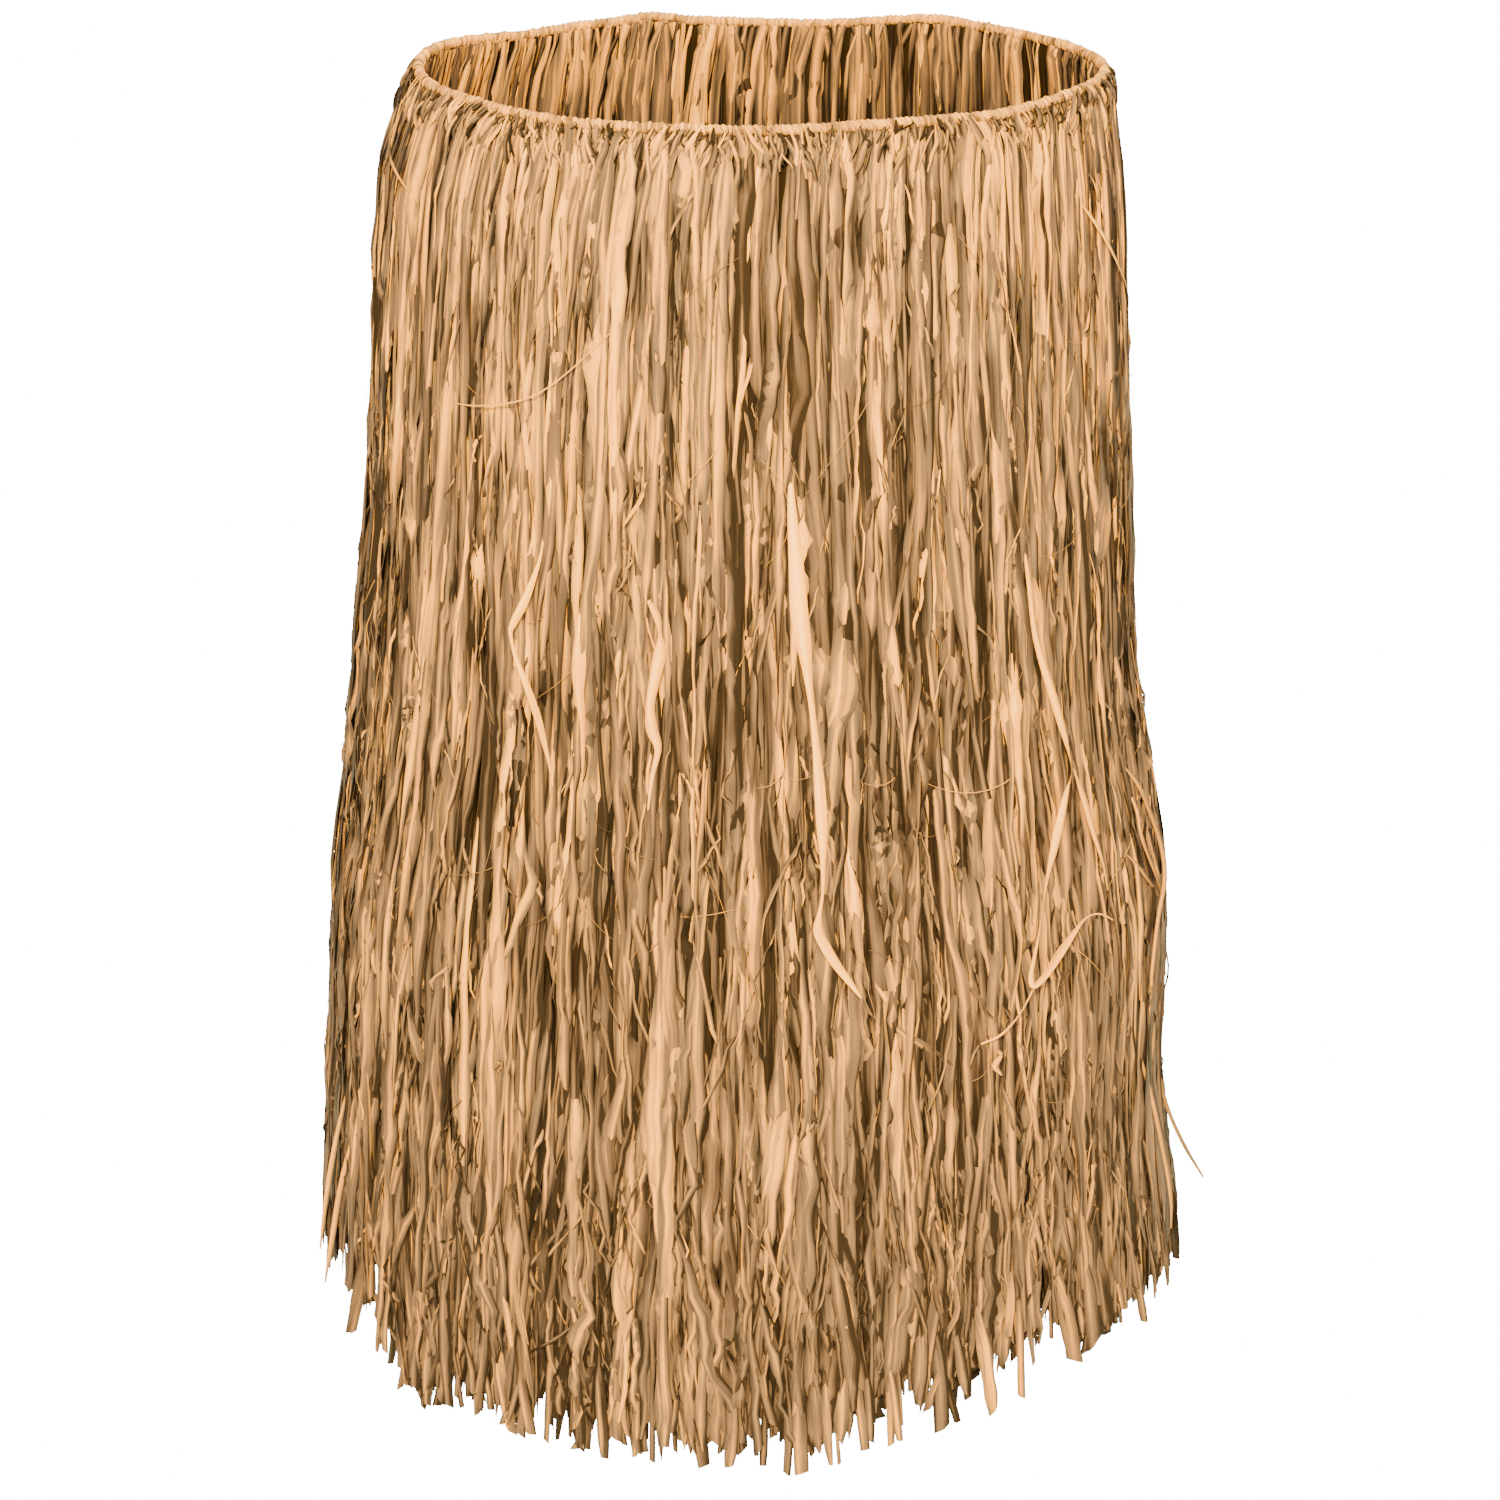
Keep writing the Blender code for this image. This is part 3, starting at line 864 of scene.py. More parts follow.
@dataclass(frozen=True)
class Hitches:
    """The short, slanted ends of raffia that are hitched round the cord and tucked in below it."""

    count: int = 150
    sections: int = 8
    length: Range = (0.009, 0.026)
    width: float = 0.0024
    widest: float = 0.006
    bulge: float = 0.0014
    seat: float = 1.6 * MM  # inwards, where it comes from under the cord
    tuck: float = 2.5 * MM  # further inwards, where it ends
    tuck_power: int = 3  # of the share of its length, in which it tucks in
    arch: float = 0.8  # power of the sine in which it bulges
    top: Range = (-0.0022, 0.009)  # drop of the highest one's start, and how far down they spread
    crowding: float = 1.5  # power that crowds the starts towards the cord
    slant: float = 0.42  # sideways for its length, in waves round the cord
    slant_waves: int = 9
    slant_phase: float = 1.0
    slant_spread: float = 0.20
    pivot: float = 0.012  # drop about which it slants
    righting: float = 0.5  # share of the slant that is lost by its end
    curl: float = 0.9 * MM  # sideways, in one wave
    bulges: Range = (0.3, 1.3)  # shares of the bulge
    width_spread: float = 0.40  # of the logarithm
    end_width: float = 0.45  # share of the width at the ends
    end_shares: Range = (0.04, 0.96)  # shares of the length at which they are cut
    thickness: Range = (0.5, 1.1)  # over half the width
    tilt: float = 0.5  # of the ridge and of the roll
    tone: float = 0.15
    tone_spread: float = 0.50
    tone_limits: Range = (-1.3, 1.0)

    def strips(self, quarter: Quarter, chance: np.random.Generator) -> Strips:
        """Hitched ends across one quarter.

        Each starts under the cord, bulges outwards as a sine over its length, leans sideways with
        its neighbours and tucks in between the hanging strips.
        """
        draw = Draw(chance, self.count)
        share = draw.steps(self.sections)
        base = quarter.start + draw.share() / len(Quarter)
        length = draw.between(*self.length)
        drop = draw.share() ** self.crowding * self.top[1] + self.top[0] + length * share
        wave = np.sin(TAU * self.slant_waves * base + self.slant_phase)
        lean = self.slant * wave + draw.bell(self.slant_spread)
        curl = draw.bell(self.curl) * np.sin(TAU * share)
        turn = base + (lean * (drop - self.pivot) * (1.0 - self.righting * share) + curl) / FORM.girth(drop)
        bulge = self.bulge * draw.between(*self.bulges)
        inward = self.seat - (bulge + self.seat) * np.sin(math.pi * share) ** self.arch
        inward = inward + self.tuck * share**self.tuck_power
        width = np.clip(self.width * np.exp(draw.bell(self.width_spread)), NARROWEST, self.widest)
        half = 0.5 * width * rise(self.end_width, np.sin(math.pi * np.clip(share, *self.end_shares)))
        tone = self.tone + draw.bell(self.tone_spread)
        return Strips.on_form(
            turn, drop, inward, half,
            thickness=half * draw.between(*self.thickness),
            ridge=draw.between(-self.tilt, self.tilt),
            roll=draw.bell(self.tilt),
            tone=np.clip(tone, *self.tone_limits),
        )


@dataclass(frozen=True)
class Hairs:
    """Fine loose fibres that lift off the strips in shallow arcs."""

    count: int = 42
    sections: int = 8
    length: Range = (0.015, 0.070)
    width: Range = (0.35 * MM, 0.75 * MM)
    proud: Range = (0.6 * MM, 4.0 * MM)
    arch: float = 0.7  # power of the sine in which it stands proud
    root: float = 0.4 * MM  # inwards, where it leaves the others
    heading: float = 0.75  # spread of the start's way, from straight down
    bend: float = 1.1  # spread of the turn to its end
    start: Range = (0.03, 0.60)  # drop of the highest start, and how far down they spread
    start_bias: float = 0.8  # below 1, more of them start low down
    drops: Range = (0.012, FORM.length - 0.02)
    taper: float = 0.6  # of the width, lost at the end
    thickness: float = 1.6  # over half the width
    tone: Range = (0.20, 0.30)  # the middle one's and the spread

    def strips(self, quarter: Quarter, chance: np.random.Generator) -> Strips:
        """Hairs across one quarter: arcs whose heading turns evenly along them."""
        draw = Draw(chance, self.count)
        share = draw.steps(self.sections)
        length = draw.between(*self.length)
        heading = draw.bell(self.heading) + draw.bell(self.bend) * share
        step = length / (self.sections - 1)
        down = np.cumsum(np.cos(heading), axis=1) * step
        aside = np.cumsum(np.sin(heading), axis=1) * step
        start = self.start[0] + self.start[1] * draw.share() ** self.start_bias
        drop = np.clip(start + down, *self.drops)
        turn = quarter.start + draw.share() / len(Quarter) + aside / FORM.girth(drop)
        proud = draw.between(*self.proud) * np.sin(math.pi * share) ** self.arch
        half = 0.5 * draw.between(*self.width) * (1.0 - self.taper * share)
        tone = self.tone[0] + draw.bell(self.tone[1])
        return Strips.on_form(turn, drop, self.root - proud, half, thickness=self.thickness * half, tone=tone)


# Strips' ends that hang clear of the others at the hem: the turn in ten-thousandths, the drop, the
# width and how far to the side the upper end stands in tenths of a mm, the length that shows in mm
# and the roll in tenths, if there is one.
TIP_UNITS = (10000, 10000, 10, 10, 1000, 10), (1.0, 1.0, MM, MM, 1.0, 1.0)
HEM_TIPS: Table = (
    (-1870, 7696, 80, 186, 71, 9), (-1665, 7671, 65, 73, 47, 6), (-1544, 7511, 30, -391, 38, 4),
    (-1491, 7783, 60, -18, 45, 3), (-1383, 7857, 60, 150, 49, 1), (-1259, 7772, 50, -5, 42),
    (-1181, 7742, 55, -80, 40), (-1088, 7589, 70, 18, 43), (-956, 7794, 90, -77, 40),
    (-865, 7769, 80, -55, 38), (-806, 7808, 40, -6, 39), (-662, 7799, 100, -31, 39),
    (-565, 7840, 80, -36, 46), (-487, 7739, 40, -22, 38), (-447, 7805, 50, -3, 39),
    (-377, 7819, 36, -9, 41), (-343, 7820, 36, 3, 42), (-250, 7706, 50, -56, 31), (-178, 7834, 90, -38, 45),
    (-83, 7821, 80, 12, 38), (46, 7827, 45, 13, 42), (137, 7886, 60, 2, 41), (195, 7883, 90, -5, 43),
    (263, 7748, 90, -10, 36), (306, 7835, 60, -10, 44), (340, 7840, 25, -22, 38), (348, 7699, 90, 15, 40),
    (441, 7763, 60, -45, 45), (464, 7707, 50, -27, 42), (543, 7753, 60, -38, 49), (575, 7720, 50, -44, 41),
    (584, 7628, 30, -26, 38), (653, 7506, 110, 32, 43), (746, 7691, 100, -44, 54), (817, 7682, 50, -92, 35),
    (852, 7499, 70, -40, 34), (968, 7663, 100, -58, 53), (1040, 7180, 80, 25, 33), (1094, 7620, 70, 8, 55),
    (1163, 7437, 60, -8, 44), (1369, 7535, 110, -117, 53, -1), (1472, 7477, 100, -29, 45, -3),
    (1570, 7447, 100, -39, 43, -4), (1659, 7373, 60, -90, 42, -6), (1760, 7296, 50, -64, 36, -8),
    (1812, 7576, 60, -57, 43, -9),
)


@dataclass(frozen=True)
class Tips:
    """The ends that show one by one along the hem: placed ones in front, random ones elsewhere."""

    placed: Table = HEM_TIPS
    placed_within: float = 0.205  # of a turn either way from the front
    spacing: float = 0.0125
    width: float = 0.0062
    sections: int = 9
    hidden: float = 1.7  # a strip's length, over the length that shows
    root: float = 4.4 * MM  # inwards, where it is still among the others
    root_width: float = 0.25  # share of the width there
    clear_at: float = 0.50  # share of its length where it has come out of the others
    wide_at: float = 0.6  # and where it has its full width
    jitter: float = 0.4  # of the random ones' places, over the spacing
    short: Range = (-0.024, 0.002)  # how far they end past the form's hem
    widths: Range = (0.0025, 0.011)
    width_spread: float = 0.40  # of the logarithm
    lean: float = 5.0 * MM
    lengths: Range = (0.034, 0.056)
    bow: float = 1.2 * MM
    proud: Range = (-0.8 * MM, 1.5 * MM)
    ragged_width: float = 0.07  # from section to section
    ragged_limits: Range = (0.8, 1.2)
    flatness: Range = (0.08, 0.24)
    ridge: float = 0.5
    slant: float = 1.0
    rolls: Range = (0.4, 0.25)  # spread of the random ones' roll, and of what all have besides
    ends: Table = ((0.95, 0.75, 0.45, 0.15), (0.45, 0.28, 0.17, 0.10))
    tone: Range = (-0.20, 0.36)  # the middle one's and the spread
    paling: float = 0.25  # gain of tone over its length
    paling_from: float = 0.7  # share of its length where the tone is its own
    tip_shares: Range = (0.80, 1.0)

    def table(self, quarter: Quarter, chance: np.random.Generator) -> Array:
        """The quarter's tips, with a row each and the columns of HEM_TIPS in metres."""
        placed = in_metres(self.placed, TIP_UNITS)
        count = round(float(FORM.girth(FORM.length)) / self.spacing)
        draw = Draw(chance, count)
        turn = (np.arange(count)[:, None] + draw.between(-self.jitter, self.jitter)) / count
        others = np.hstack([
            centred(turn),
            FORM.hem_drop(turn) + draw.between(*self.short),
            np.clip(self.width * np.exp(draw.bell(self.width_spread)), *self.widths),
            draw.bell(self.lean),
            draw.between(*self.lengths),
            draw.bell(self.rolls[0]),
        ])
        others = others[np.abs(others[:, 0]) > self.placed_within]
        rows = np.concatenate([placed, others])
        return rows[quarter.holds(rows[:, 0])]

    def strips(self, quarter: Quarter, chance: np.random.Generator) -> Strips:
        """The quarter's tips as strips.

        Each comes straight down from among the others, bowed to the side as a sine, widens and
        ends bluntly.
        """
        turn, drop, width, lean, length, roll = self.table(quarter, chance).T[:, :, None]
        draw = Draw(chance, len(turn))
        share = draw.steps(self.sections)
        up = self.hidden * (1.0 - share)
        bow = draw.bell(self.bow) * np.sin(math.pi * share)
        down = drop - length * up
        turns = turn + (lean * up + bow) / FORM.girth(down)
        proud = draw.between(*self.proud)
        inward = self.root - (self.root + proud) * smooth_step(share, 0.0, self.clear_at)
        swell = np.clip(chance.normal(1.0, self.ragged_width, share.shape), *self.ragged_limits)
        half = 0.5 * width * (swell * rise(self.root_width, smooth_step(share, 0.0, self.wide_at)))
        draw.blunt(half, self.ends)
        tone = self.tone[0] + draw.bell(self.tone[1]) + self.paling * (share - self.paling_from)
        return Strips.on_form(
            turns, down, inward, half,
            thickness=2.0 * half * draw.between(*self.flatness),
            ridge=draw.between(-self.ridge, self.ridge),
            roll=roll + draw.bell(self.rolls[1]),
            slant=draw.between(-self.slant, self.slant) * half[:, -1:],
            tone=tone - TIP_TONE * smooth_step(share, *self.tip_shares),
        )


# ------------------------------------------------------------------ strips with their own path


@dataclass(frozen=True)
class Wisp:
    """A single strip that strays from the others along its own path.

    Each row of the path is a turn in ten-thousandths, a drop, the distance outside the outer face
    and the width in tenths of a mm, and the roll in tenths, if there is one.
    """

    UNITS = (10000, 10000, 10, 10, 10), (1.0, 1.0, MM, MM, 1.0)

    path: Table
    flatness: float = 0.16
    tone: float = 0.8
    sections: int = 12
    ridge: float = 0.3
    hidden_from: float = 3.0 * MM  # one that starts less proud than this starts among the others
    finest: float = 0.15 * MM  # half width

    def is_in(self, quarter: Quarter) -> bool:
        """Whether its middle lies in the quarter."""
        return bool(quarter.holds(in_metres(self.path, self.UNITS)[:, 0].mean()))

    def strips(self) -> Strips:
        """The wisp as a set of one strip, on a Catmull-Rom curve through its path."""
        table = in_metres(self.path, self.UNITS)
        if table[0, 2] <= self.hidden_from:
            table[0, 2:4] = table[0, 2] - self.hidden_from, 0.5 * table[0, 3]
        knots = np.vstack([2 * table[0] - table[1], table, 2 * table[-1] - table[-2]])
        place = np.linspace(0.0, len(table) - 1.0, self.sections)
        left = np.minimum(place.astype(int), len(table) - 2)
        part = (place - left)[:, None]
        before, start, end, after = (knots[left + i] for i in range(4))
        curve = start + 0.5 * part * (
            end - before
            + part * (2 * before - 5 * start + 4 * end - after + part * (3 * (start - end) + after - before))
        )
        turn, drop, proud, width, roll = curve.T[:, None, :]
        half = np.maximum(0.5 * width, self.finest)
        return Strips.on_form(
            turn, drop, -proud, half, thickness=2.0 * half * self.flatness, tone=self.tone, ridge=self.ridge,
            roll=roll,
        )


WISPS: tuple[Wisp, ...] = (
    # A broad pale strip that narrows, widens again, folds back on itself and kicks out.
    Wisp((
        (174, 1797, 0, 25), (176, 2013, 15, 50, 2), (191, 2287, 30, 80, 1), (206, 2622, 40, 100, -1),
        (227, 2804, 40, 80, 3), (251, 3080, 40, 44, 6), (271, 3341, 40, 44, 3), (285, 3600, 45, 62, -1),
        (290, 3828, 50, 62, 1), (291, 4001, 50, 40, 4), (287, 4184, 55, 26, 7), (272, 4292, 70, 25, 2),
        (262, 4392, 80, 55, -2), (293, 4502, 75, 60, -1), (340, 4625, 60, 50, 2), (389, 4734, 40, 36, 3),
        (434, 4840, 15, 10),
    ), tone=1.75, sections=52),
    # The point that splits off it.
    Wisp((
        (197, 2289, 25, 30), (190, 2623, 35, 60), (181, 2823, 30, 35), (178, 3008, 10, 8),
    ), tone=0.8, sections=10),
    # A strip that turns over and doubles back up, with a long thin end.
    Wisp((
        (1286, 2344, 0, 20), (1284, 2586, 20, 35), (1308, 2912, 30, 50, 2), (1386, 3260, 40, 55, -1),
        (1454, 3564, 45, 50, 2), (1462, 3745, 50, 30, 9), (1415, 3875, 55, 65, 2), (1336, 4115, 55, 70),
        (1270, 4331, 55, 40, 3), (1230, 4516, 55, 22, 7), (1190, 4693, 60, 28, 3), (1145, 4855, 70, 34),
        (1152, 4921, 80, 40), (1214, 4879, 75, 55), (1291, 4792, 65, 62, 2), (1373, 4714, 55, 40, 3),
        (1462, 4644, 50, 14), (1555, 4666, 40, 9), (1656, 4762, 15, 7),
    ), tone=1.6, sections=64),
    # The half of it that hangs on.
    Wisp((
        (1515, 3772, 30, 20), (1531, 3934, 35, 45), (1571, 4164, 35, 55, 2), (1617, 4383, 30, 32, 3),
        (1648, 4572, 10, 10),
    ), tone=0.8, sections=14),
    # Its tail, and a small curl beyond it.
    Wisp((
        (1154, 4953, 65, 18), (1098, 5089, 50, 20, 4), (1016, 5198, 35, 18), (935, 5240, 10, 16),
    ), tone=0.8, sections=12),
    Wisp((
        (1002, 5300, 10, 15), (1017, 5328, 30, 40, 3), (985, 5382, 40, 40, -3), (1024, 5462, 20, 12),
    ), tone=0.9, sections=12),
    # A strip that bows out, turns on edge at the bend and comes back.
    Wisp((
        (-933, 2152, 0, 12), (-931, 2338, 20, 16), (-956, 2469, 35, 30, 2), (-996, 2621, 50, 50, 1),
        (-1040, 2739, 55, 42, 2), (-1054, 2812, 55, 22, 9), (-1029, 2941, 50, 22, 8),
        (-990, 3056, 45, 36, 2), (-956, 3161, 40, 50), (-919, 3289, 35, 46, 1), (-891, 3434, 25, 30, 3),
        (-866, 3596, 0, 12),
    ), tone=1.45, sections=36),
    # Two that swell into pale flakes.
    Wisp((
        (-723, 2458, 0, 12), (-737, 2676, 20, 35, 2), (-739, 2924, 32, 85), (-738, 3087, 30, 60, 1),
        (-720, 3315, 20, 30, 3), (-726, 3655, 0, 20),
    ), tone=1.3, sections=22),
    Wisp((
        (-479, 2474, 0, 25), (-403, 2610, 30, 42, 3), (-385, 2714, 35, 26, 9), (-384, 2822, 35, 70, 1),
        (-409, 2992, 30, 60, -1), (-426, 3140, 25, 50, 3), (-416, 3270, 30, 70), (-389, 3378, 30, 40, 4),
        (-415, 3547, 20, 24, 2), (-430, 3746, 0, 10),
    ), tone=1.2, sections=34),
    # A fine fibre in a long flat arc.
    Wisp((
        (-1530, 1610, 5, 7), (-1280, 1570, 30, 9), (-1040, 1490, 40, 9), (-870, 1360, 35, 8),
        (-630, 1070, 5, 6),
    ), flatness=0.6, tone=0.8, sections=18),
    # A straight strip across the others, below the heading on the wearer's left.
    Wisp((
        (1660, 460, 2, 16), (1870, 760, 22, 26), (2080, 1030, 26, 28, 3), (2400, 1340, 6, 18),
    ), tone=0.9, sections=12),
    # A short one on the wearer's right, just under the cord.
    Wisp((
        (-2300, 360, 10, 14), (-2090, 410, 26, 24, 3), (-1860, 520, 3, 14),
    ), tone=0.9, sections=10),
    # Strips that bow out at the wearer's left hip. The first is a dark strip under them: painted shade of the
    # gap behind them.
    Wisp((
        (2015, 4621, 2, 15, -12), (2012, 4741, 8, 50, -12), (1975, 4848, 8, 85, -12),
        (1951, 4964, 8, 60, -12), (1950, 5131, 2, 15, -12),
    ), flatness=0.3, tone=-1.2, sections=10),
    Wisp((
        (1943, 3942, 0, 20, -10), (2002, 4094, 20, 26, -11), (2079, 4294, 30, 28, -12),
        (2160, 4522, 35, 30, -12), (2196, 4701, 35, 32, -13), (2144, 4819, 35, 32, -13),
        (2064, 4913, 30, 30, -13), (2017, 5069, 25, 28, -13), (1981, 5314, 20, 26, -13),
        (2006, 5641, 0, 20, -12),
    ), flatness=0.35, tone=0.55, sections=30),
    Wisp((
        (1964, 4109, 5, 20, -10), (1952, 4238, 20, 22, -11), (1953, 4383, 25, 24, -11),
        (2009, 4562, 25, 24, -12), (2083, 4737, 22, 22, -12), (2122, 4841, 15, 12, -12),
    ), flatness=0.35, tone=0.35, sections=16),
    Wisp((
        (1862, 4465, 5, 16, -10), (1894, 4548, 20, 22, -11), (1968, 4679, 25, 24, -12),
        (2060, 4814, 22, 22, -12), (2106, 4896, 15, 12, -12),
    ), flatness=0.35, tone=0.6, sections=14),
    Wisp((
        (1928, 4374, 2, 20, -10), (1883, 4568, 18, 28, -11), (1867, 4781, 22, 32, -11),
        (1855, 4968, 22, 34, -11), (1855, 5168, 15, 26, -10), (1885, 5424, 0, 14, -10),
    ), flatness=0.35, tone=0.5, sections=18),
    # A long one that stands clear of the hem there.
    Wisp((
        (2240, 5700, -30, 18, -12), (2280, 6120, -15, 22, -13), (2310, 6350, 12, 26, -14),
        (2330, 6560, 52, 26, -14), (2350, 6790, 120, 25, -14), (2360, 7000, 208, 14, -14),
    ), flatness=0.4, tone=0.1, sections=26),
    # Two that part from the hem on the wearer's left.
    Wisp((
        (1880, 5689, 10, 24, -6), (2002, 6182, 30, 30, -9), (2089, 6660, 50, 32, -11),
        (2118, 6964, 50, 28, -9), (2126, 7173, 30, 16, -6),
    ), tone=0.3, sections=16),
    # And two on the wearer's right.
    Wisp((
        (-1972, 6014, 10, 24, 6), (-2031, 6466, 30, 32, 9), (-2109, 6950, 50, 32, 11),
        (-2169, 7354, 60, 12, 10),
    ), tone=0.4, sections=14),
    Wisp((
        (-1886, 6224, 10, 24, 6), (-1951, 6681, 30, 34, 9), (-2033, 7171, 40, 34, 10),
        (-2120, 7560, 40, 12, 10),
    ), tone=0.5, sections=14),
)


# ------------------------------------------------------------------ finishes


class Sketch:
    """A small hand for laying out shader nodes in one tree."""

    def __init__(self, tree: bpy.types.NodeTree) -> None:
        """Work in that tree."""
        self.tree = tree

    def node(self, kind: str, sockets: dict[str, object] | None = None, **settings: object) -> bpy.types.Node:
        """A new node.

        Args:
            kind: Its type.
            sockets: What its sockets are set to or linked from.
            **settings: Its properties.

        Returns:
            The node.
        """
        made = self.tree.nodes.new(kind)
        for name, value in settings.items():
            setattr(made, name, value)
        return self.fill(made, sockets or {})

    def fill(self, node: bpy.types.Node, sockets: dict[str | int, object]) -> bpy.types.Node:
        """Set each of the node's sockets that is named, or link it from another socket."""
        for name, value in sockets.items():
            if isinstance(value, Socket):
                self.tree.links.new(value, node.inputs[name])
            else:
                node.inputs[name].default_value = value
        return node

    def math(self, operation: str, *values: object) -> Socket:
        """The result of a Math node on the values."""
        return self.node("ShaderNodeMath", dict(enumerate(values)), operation=operation).outputs[0]

    def spread(self, value: Socket, low: float, high: float, to: Range = (0.0, 1.0)) -> Socket:
        """The value, stretched from one range to another and held inside it."""
        ends = {"Value": value, "From Min": low, "From Max": high, "To Min": to[0], "To Max": to[1]}
        return self.node("ShaderNodeMapRange", ends).outputs["Result"]

    def blend(self, share: object, first: object, second: object, way: str = "MIX") -> Socket:
        """Two colours, mixed by a share."""
        sockets = {0: share, 6: first, 7: second}
        return self.node("ShaderNodeMix", sockets, data_type="RGBA", blend_type=way).outputs[2]


def rgba(colour: Triple) -> tuple[float, float, float, float]:
    """The colour with full alpha."""
    return (*colour, 1.0)


def new_group(
    name: str, inputs: dict[str, str], outputs: dict[str, str]
) -> tuple[bpy.types.ShaderNodeTree, Sketch]:
    """An empty shader node group with named sockets.

    Args:
        name: The group's name.
        inputs: Kind of each input socket.
        outputs: Kind of each output socket.

    Returns:
        The group and a sketch of it.
    """
    group = bpy.data.node_groups.new(name, "ShaderNodeTree")
    for in_out, sockets in (("INPUT", inputs), ("OUTPUT", outputs)):
        for label, kind in sockets.items():
            group.interface.new_socket(label, in_out=in_out, socket_type=f"NodeSocket{kind}")
    return group, Sketch(group)


@dataclass(frozen=True)
class Grain:
    """One layer of noise on a strip's own lie, and the values that are stretched to 0 and 1."""

    across: float  # a metre
    along: float
    detail: float
    roughness: float
    ends: Range = (0.0, 1.0)


@dataclass(frozen=True)
class FibreGrain:
    """The lengthwise fibres of a raffia strip, as a group: streaks, patches, flecks and relief."""

    streaks: Grain = Grain(430.0, 6.0, 1.5, 0.5, (0.30, 0.70))
    patches: Grain = Grain(120.0, 14.0, 2.0, 0.55, (0.32, 0.68))
    wrinkles: Grain = Grain(300.0, 260.0, 2.0, 0.6)
    flecks: Grain = Grain(900.0, 170.0, 1.0, 0.5, (0.70, 0.78))
    apart: float = 7.31  # how far the noise moves on from strip to strip
    wrinkle_share: float = 0.8

    def group(self) -> bpy.types.ShaderNodeTree:
        """Build the node group.

        Streaks are noise on the strip's own lie, stretched lengthwise and started anew for each
        strip's number. Patches are the same noise, slower, and wrinkles the same, crosswise. Chance
        is one random value for each strip.
        """
        names = ("Streak", "Patch", "Fleck", "Relief", "Chance")
        tree, sketch = new_group("fibre_grain", {"Lie": "Vector"}, dict.fromkeys(names, "Float"))
        lie = sketch.node("NodeGroupInput").outputs["Lie"]
        across, along, number = sketch.node("ShaderNodeSeparateXYZ", {0: lie}).outputs

        def noise(grain: Grain) -> Socket:
            """Noise on the lie, scaled across and along."""
            scales = (across, grain.across), (along, grain.along), (number, self.apart)
            scaled = dict(enumerate(sketch.math("MULTIPLY", *scale) for scale in scales))
            place = sketch.node("ShaderNodeCombineXYZ", scaled).outputs[0]
            look = {"Vector": place, "Scale": 1.0, "Detail": grain.detail, "Roughness": grain.roughness}
            return sketch.node("ShaderNodeTexNoise", look).outputs[0]

        streak, patch, fleck = (
            sketch.spread(noise(grain), *grain.ends) for grain in (self.streaks, self.patches, self.flecks)
        )
        wrinkle = sketch.math("MULTIPLY", noise(self.wrinkles), self.wrinkle_share)
        sketch.node("NodeGroupOutput", {
            "Streak": streak,
            "Patch": patch,
            "Fleck": fleck,
            "Relief": sketch.math("ADD", streak, wrinkle),
            "Chance": sketch.node("ShaderNodeTexWhiteNoise", {"W": number}, noise_dimensions="1D").outputs[0],
        })
        return tree


@dataclass(frozen=True)
class StripTone:
    """A dried leaf's colour as a group: from dark to sun-faded straw by tone, patch and streak, its palest
    stop also a painted highlight on the folds.
    """

    stops: tuple[tuple[str, float, float], ...] = (  # each colour, and the tones it comes in between
        # The last stop is sun-faded straw and, on the folds of pale strips, a painted highlight.
        ("Brown", -1.1, -0.55), ("Middle", -0.55, 0.0), ("Pale", 0.0, 1.1), ("Bleached", 1.3, 2.2),
    )
    swing: Range = (-0.40, 0.40)  # of the tone, by patch and by streak
    fleck_share: float = 0.45
    warm: Triple = (1.03, 0.98, 0.88)
    cool: Triple = (0.97, 1.012, 1.05)

    def group(self) -> bpy.types.ShaderNodeTree:
        """Build the node group."""
        values = dict.fromkeys(("Tone", "Streak", "Patch", "Fleck", "Chance"), "Float")
        colours = dict.fromkeys(("Dark", *(name for name, _, _ in self.stops), "Stain"), "Color")
        tree, sketch = new_group("strip_tone", values | colours, {"Color": "Color"})
        source = sketch.node("NodeGroupInput").outputs
        tone, colour = source["Tone"], source["Dark"]
        for part in ("Patch", "Streak"):
            tone = sketch.math("ADD", tone, sketch.spread(source[part], 0.0, 1.0, self.swing))
        for name, low, high in self.stops:
            colour = sketch.blend(sketch.spread(tone, low, high), colour, source[name])
        fleck = sketch.math("MULTIPLY", source["Fleck"], self.fleck_share)
        colour = sketch.blend(fleck, colour, source["Stain"])
        tint = sketch.blend(source["Chance"], rgba(self.warm), rgba(self.cool))
        sketch.node("NodeGroupOutput", {"Color": sketch.blend(1.0, colour, tint, "MULTIPLY")})
        return tree


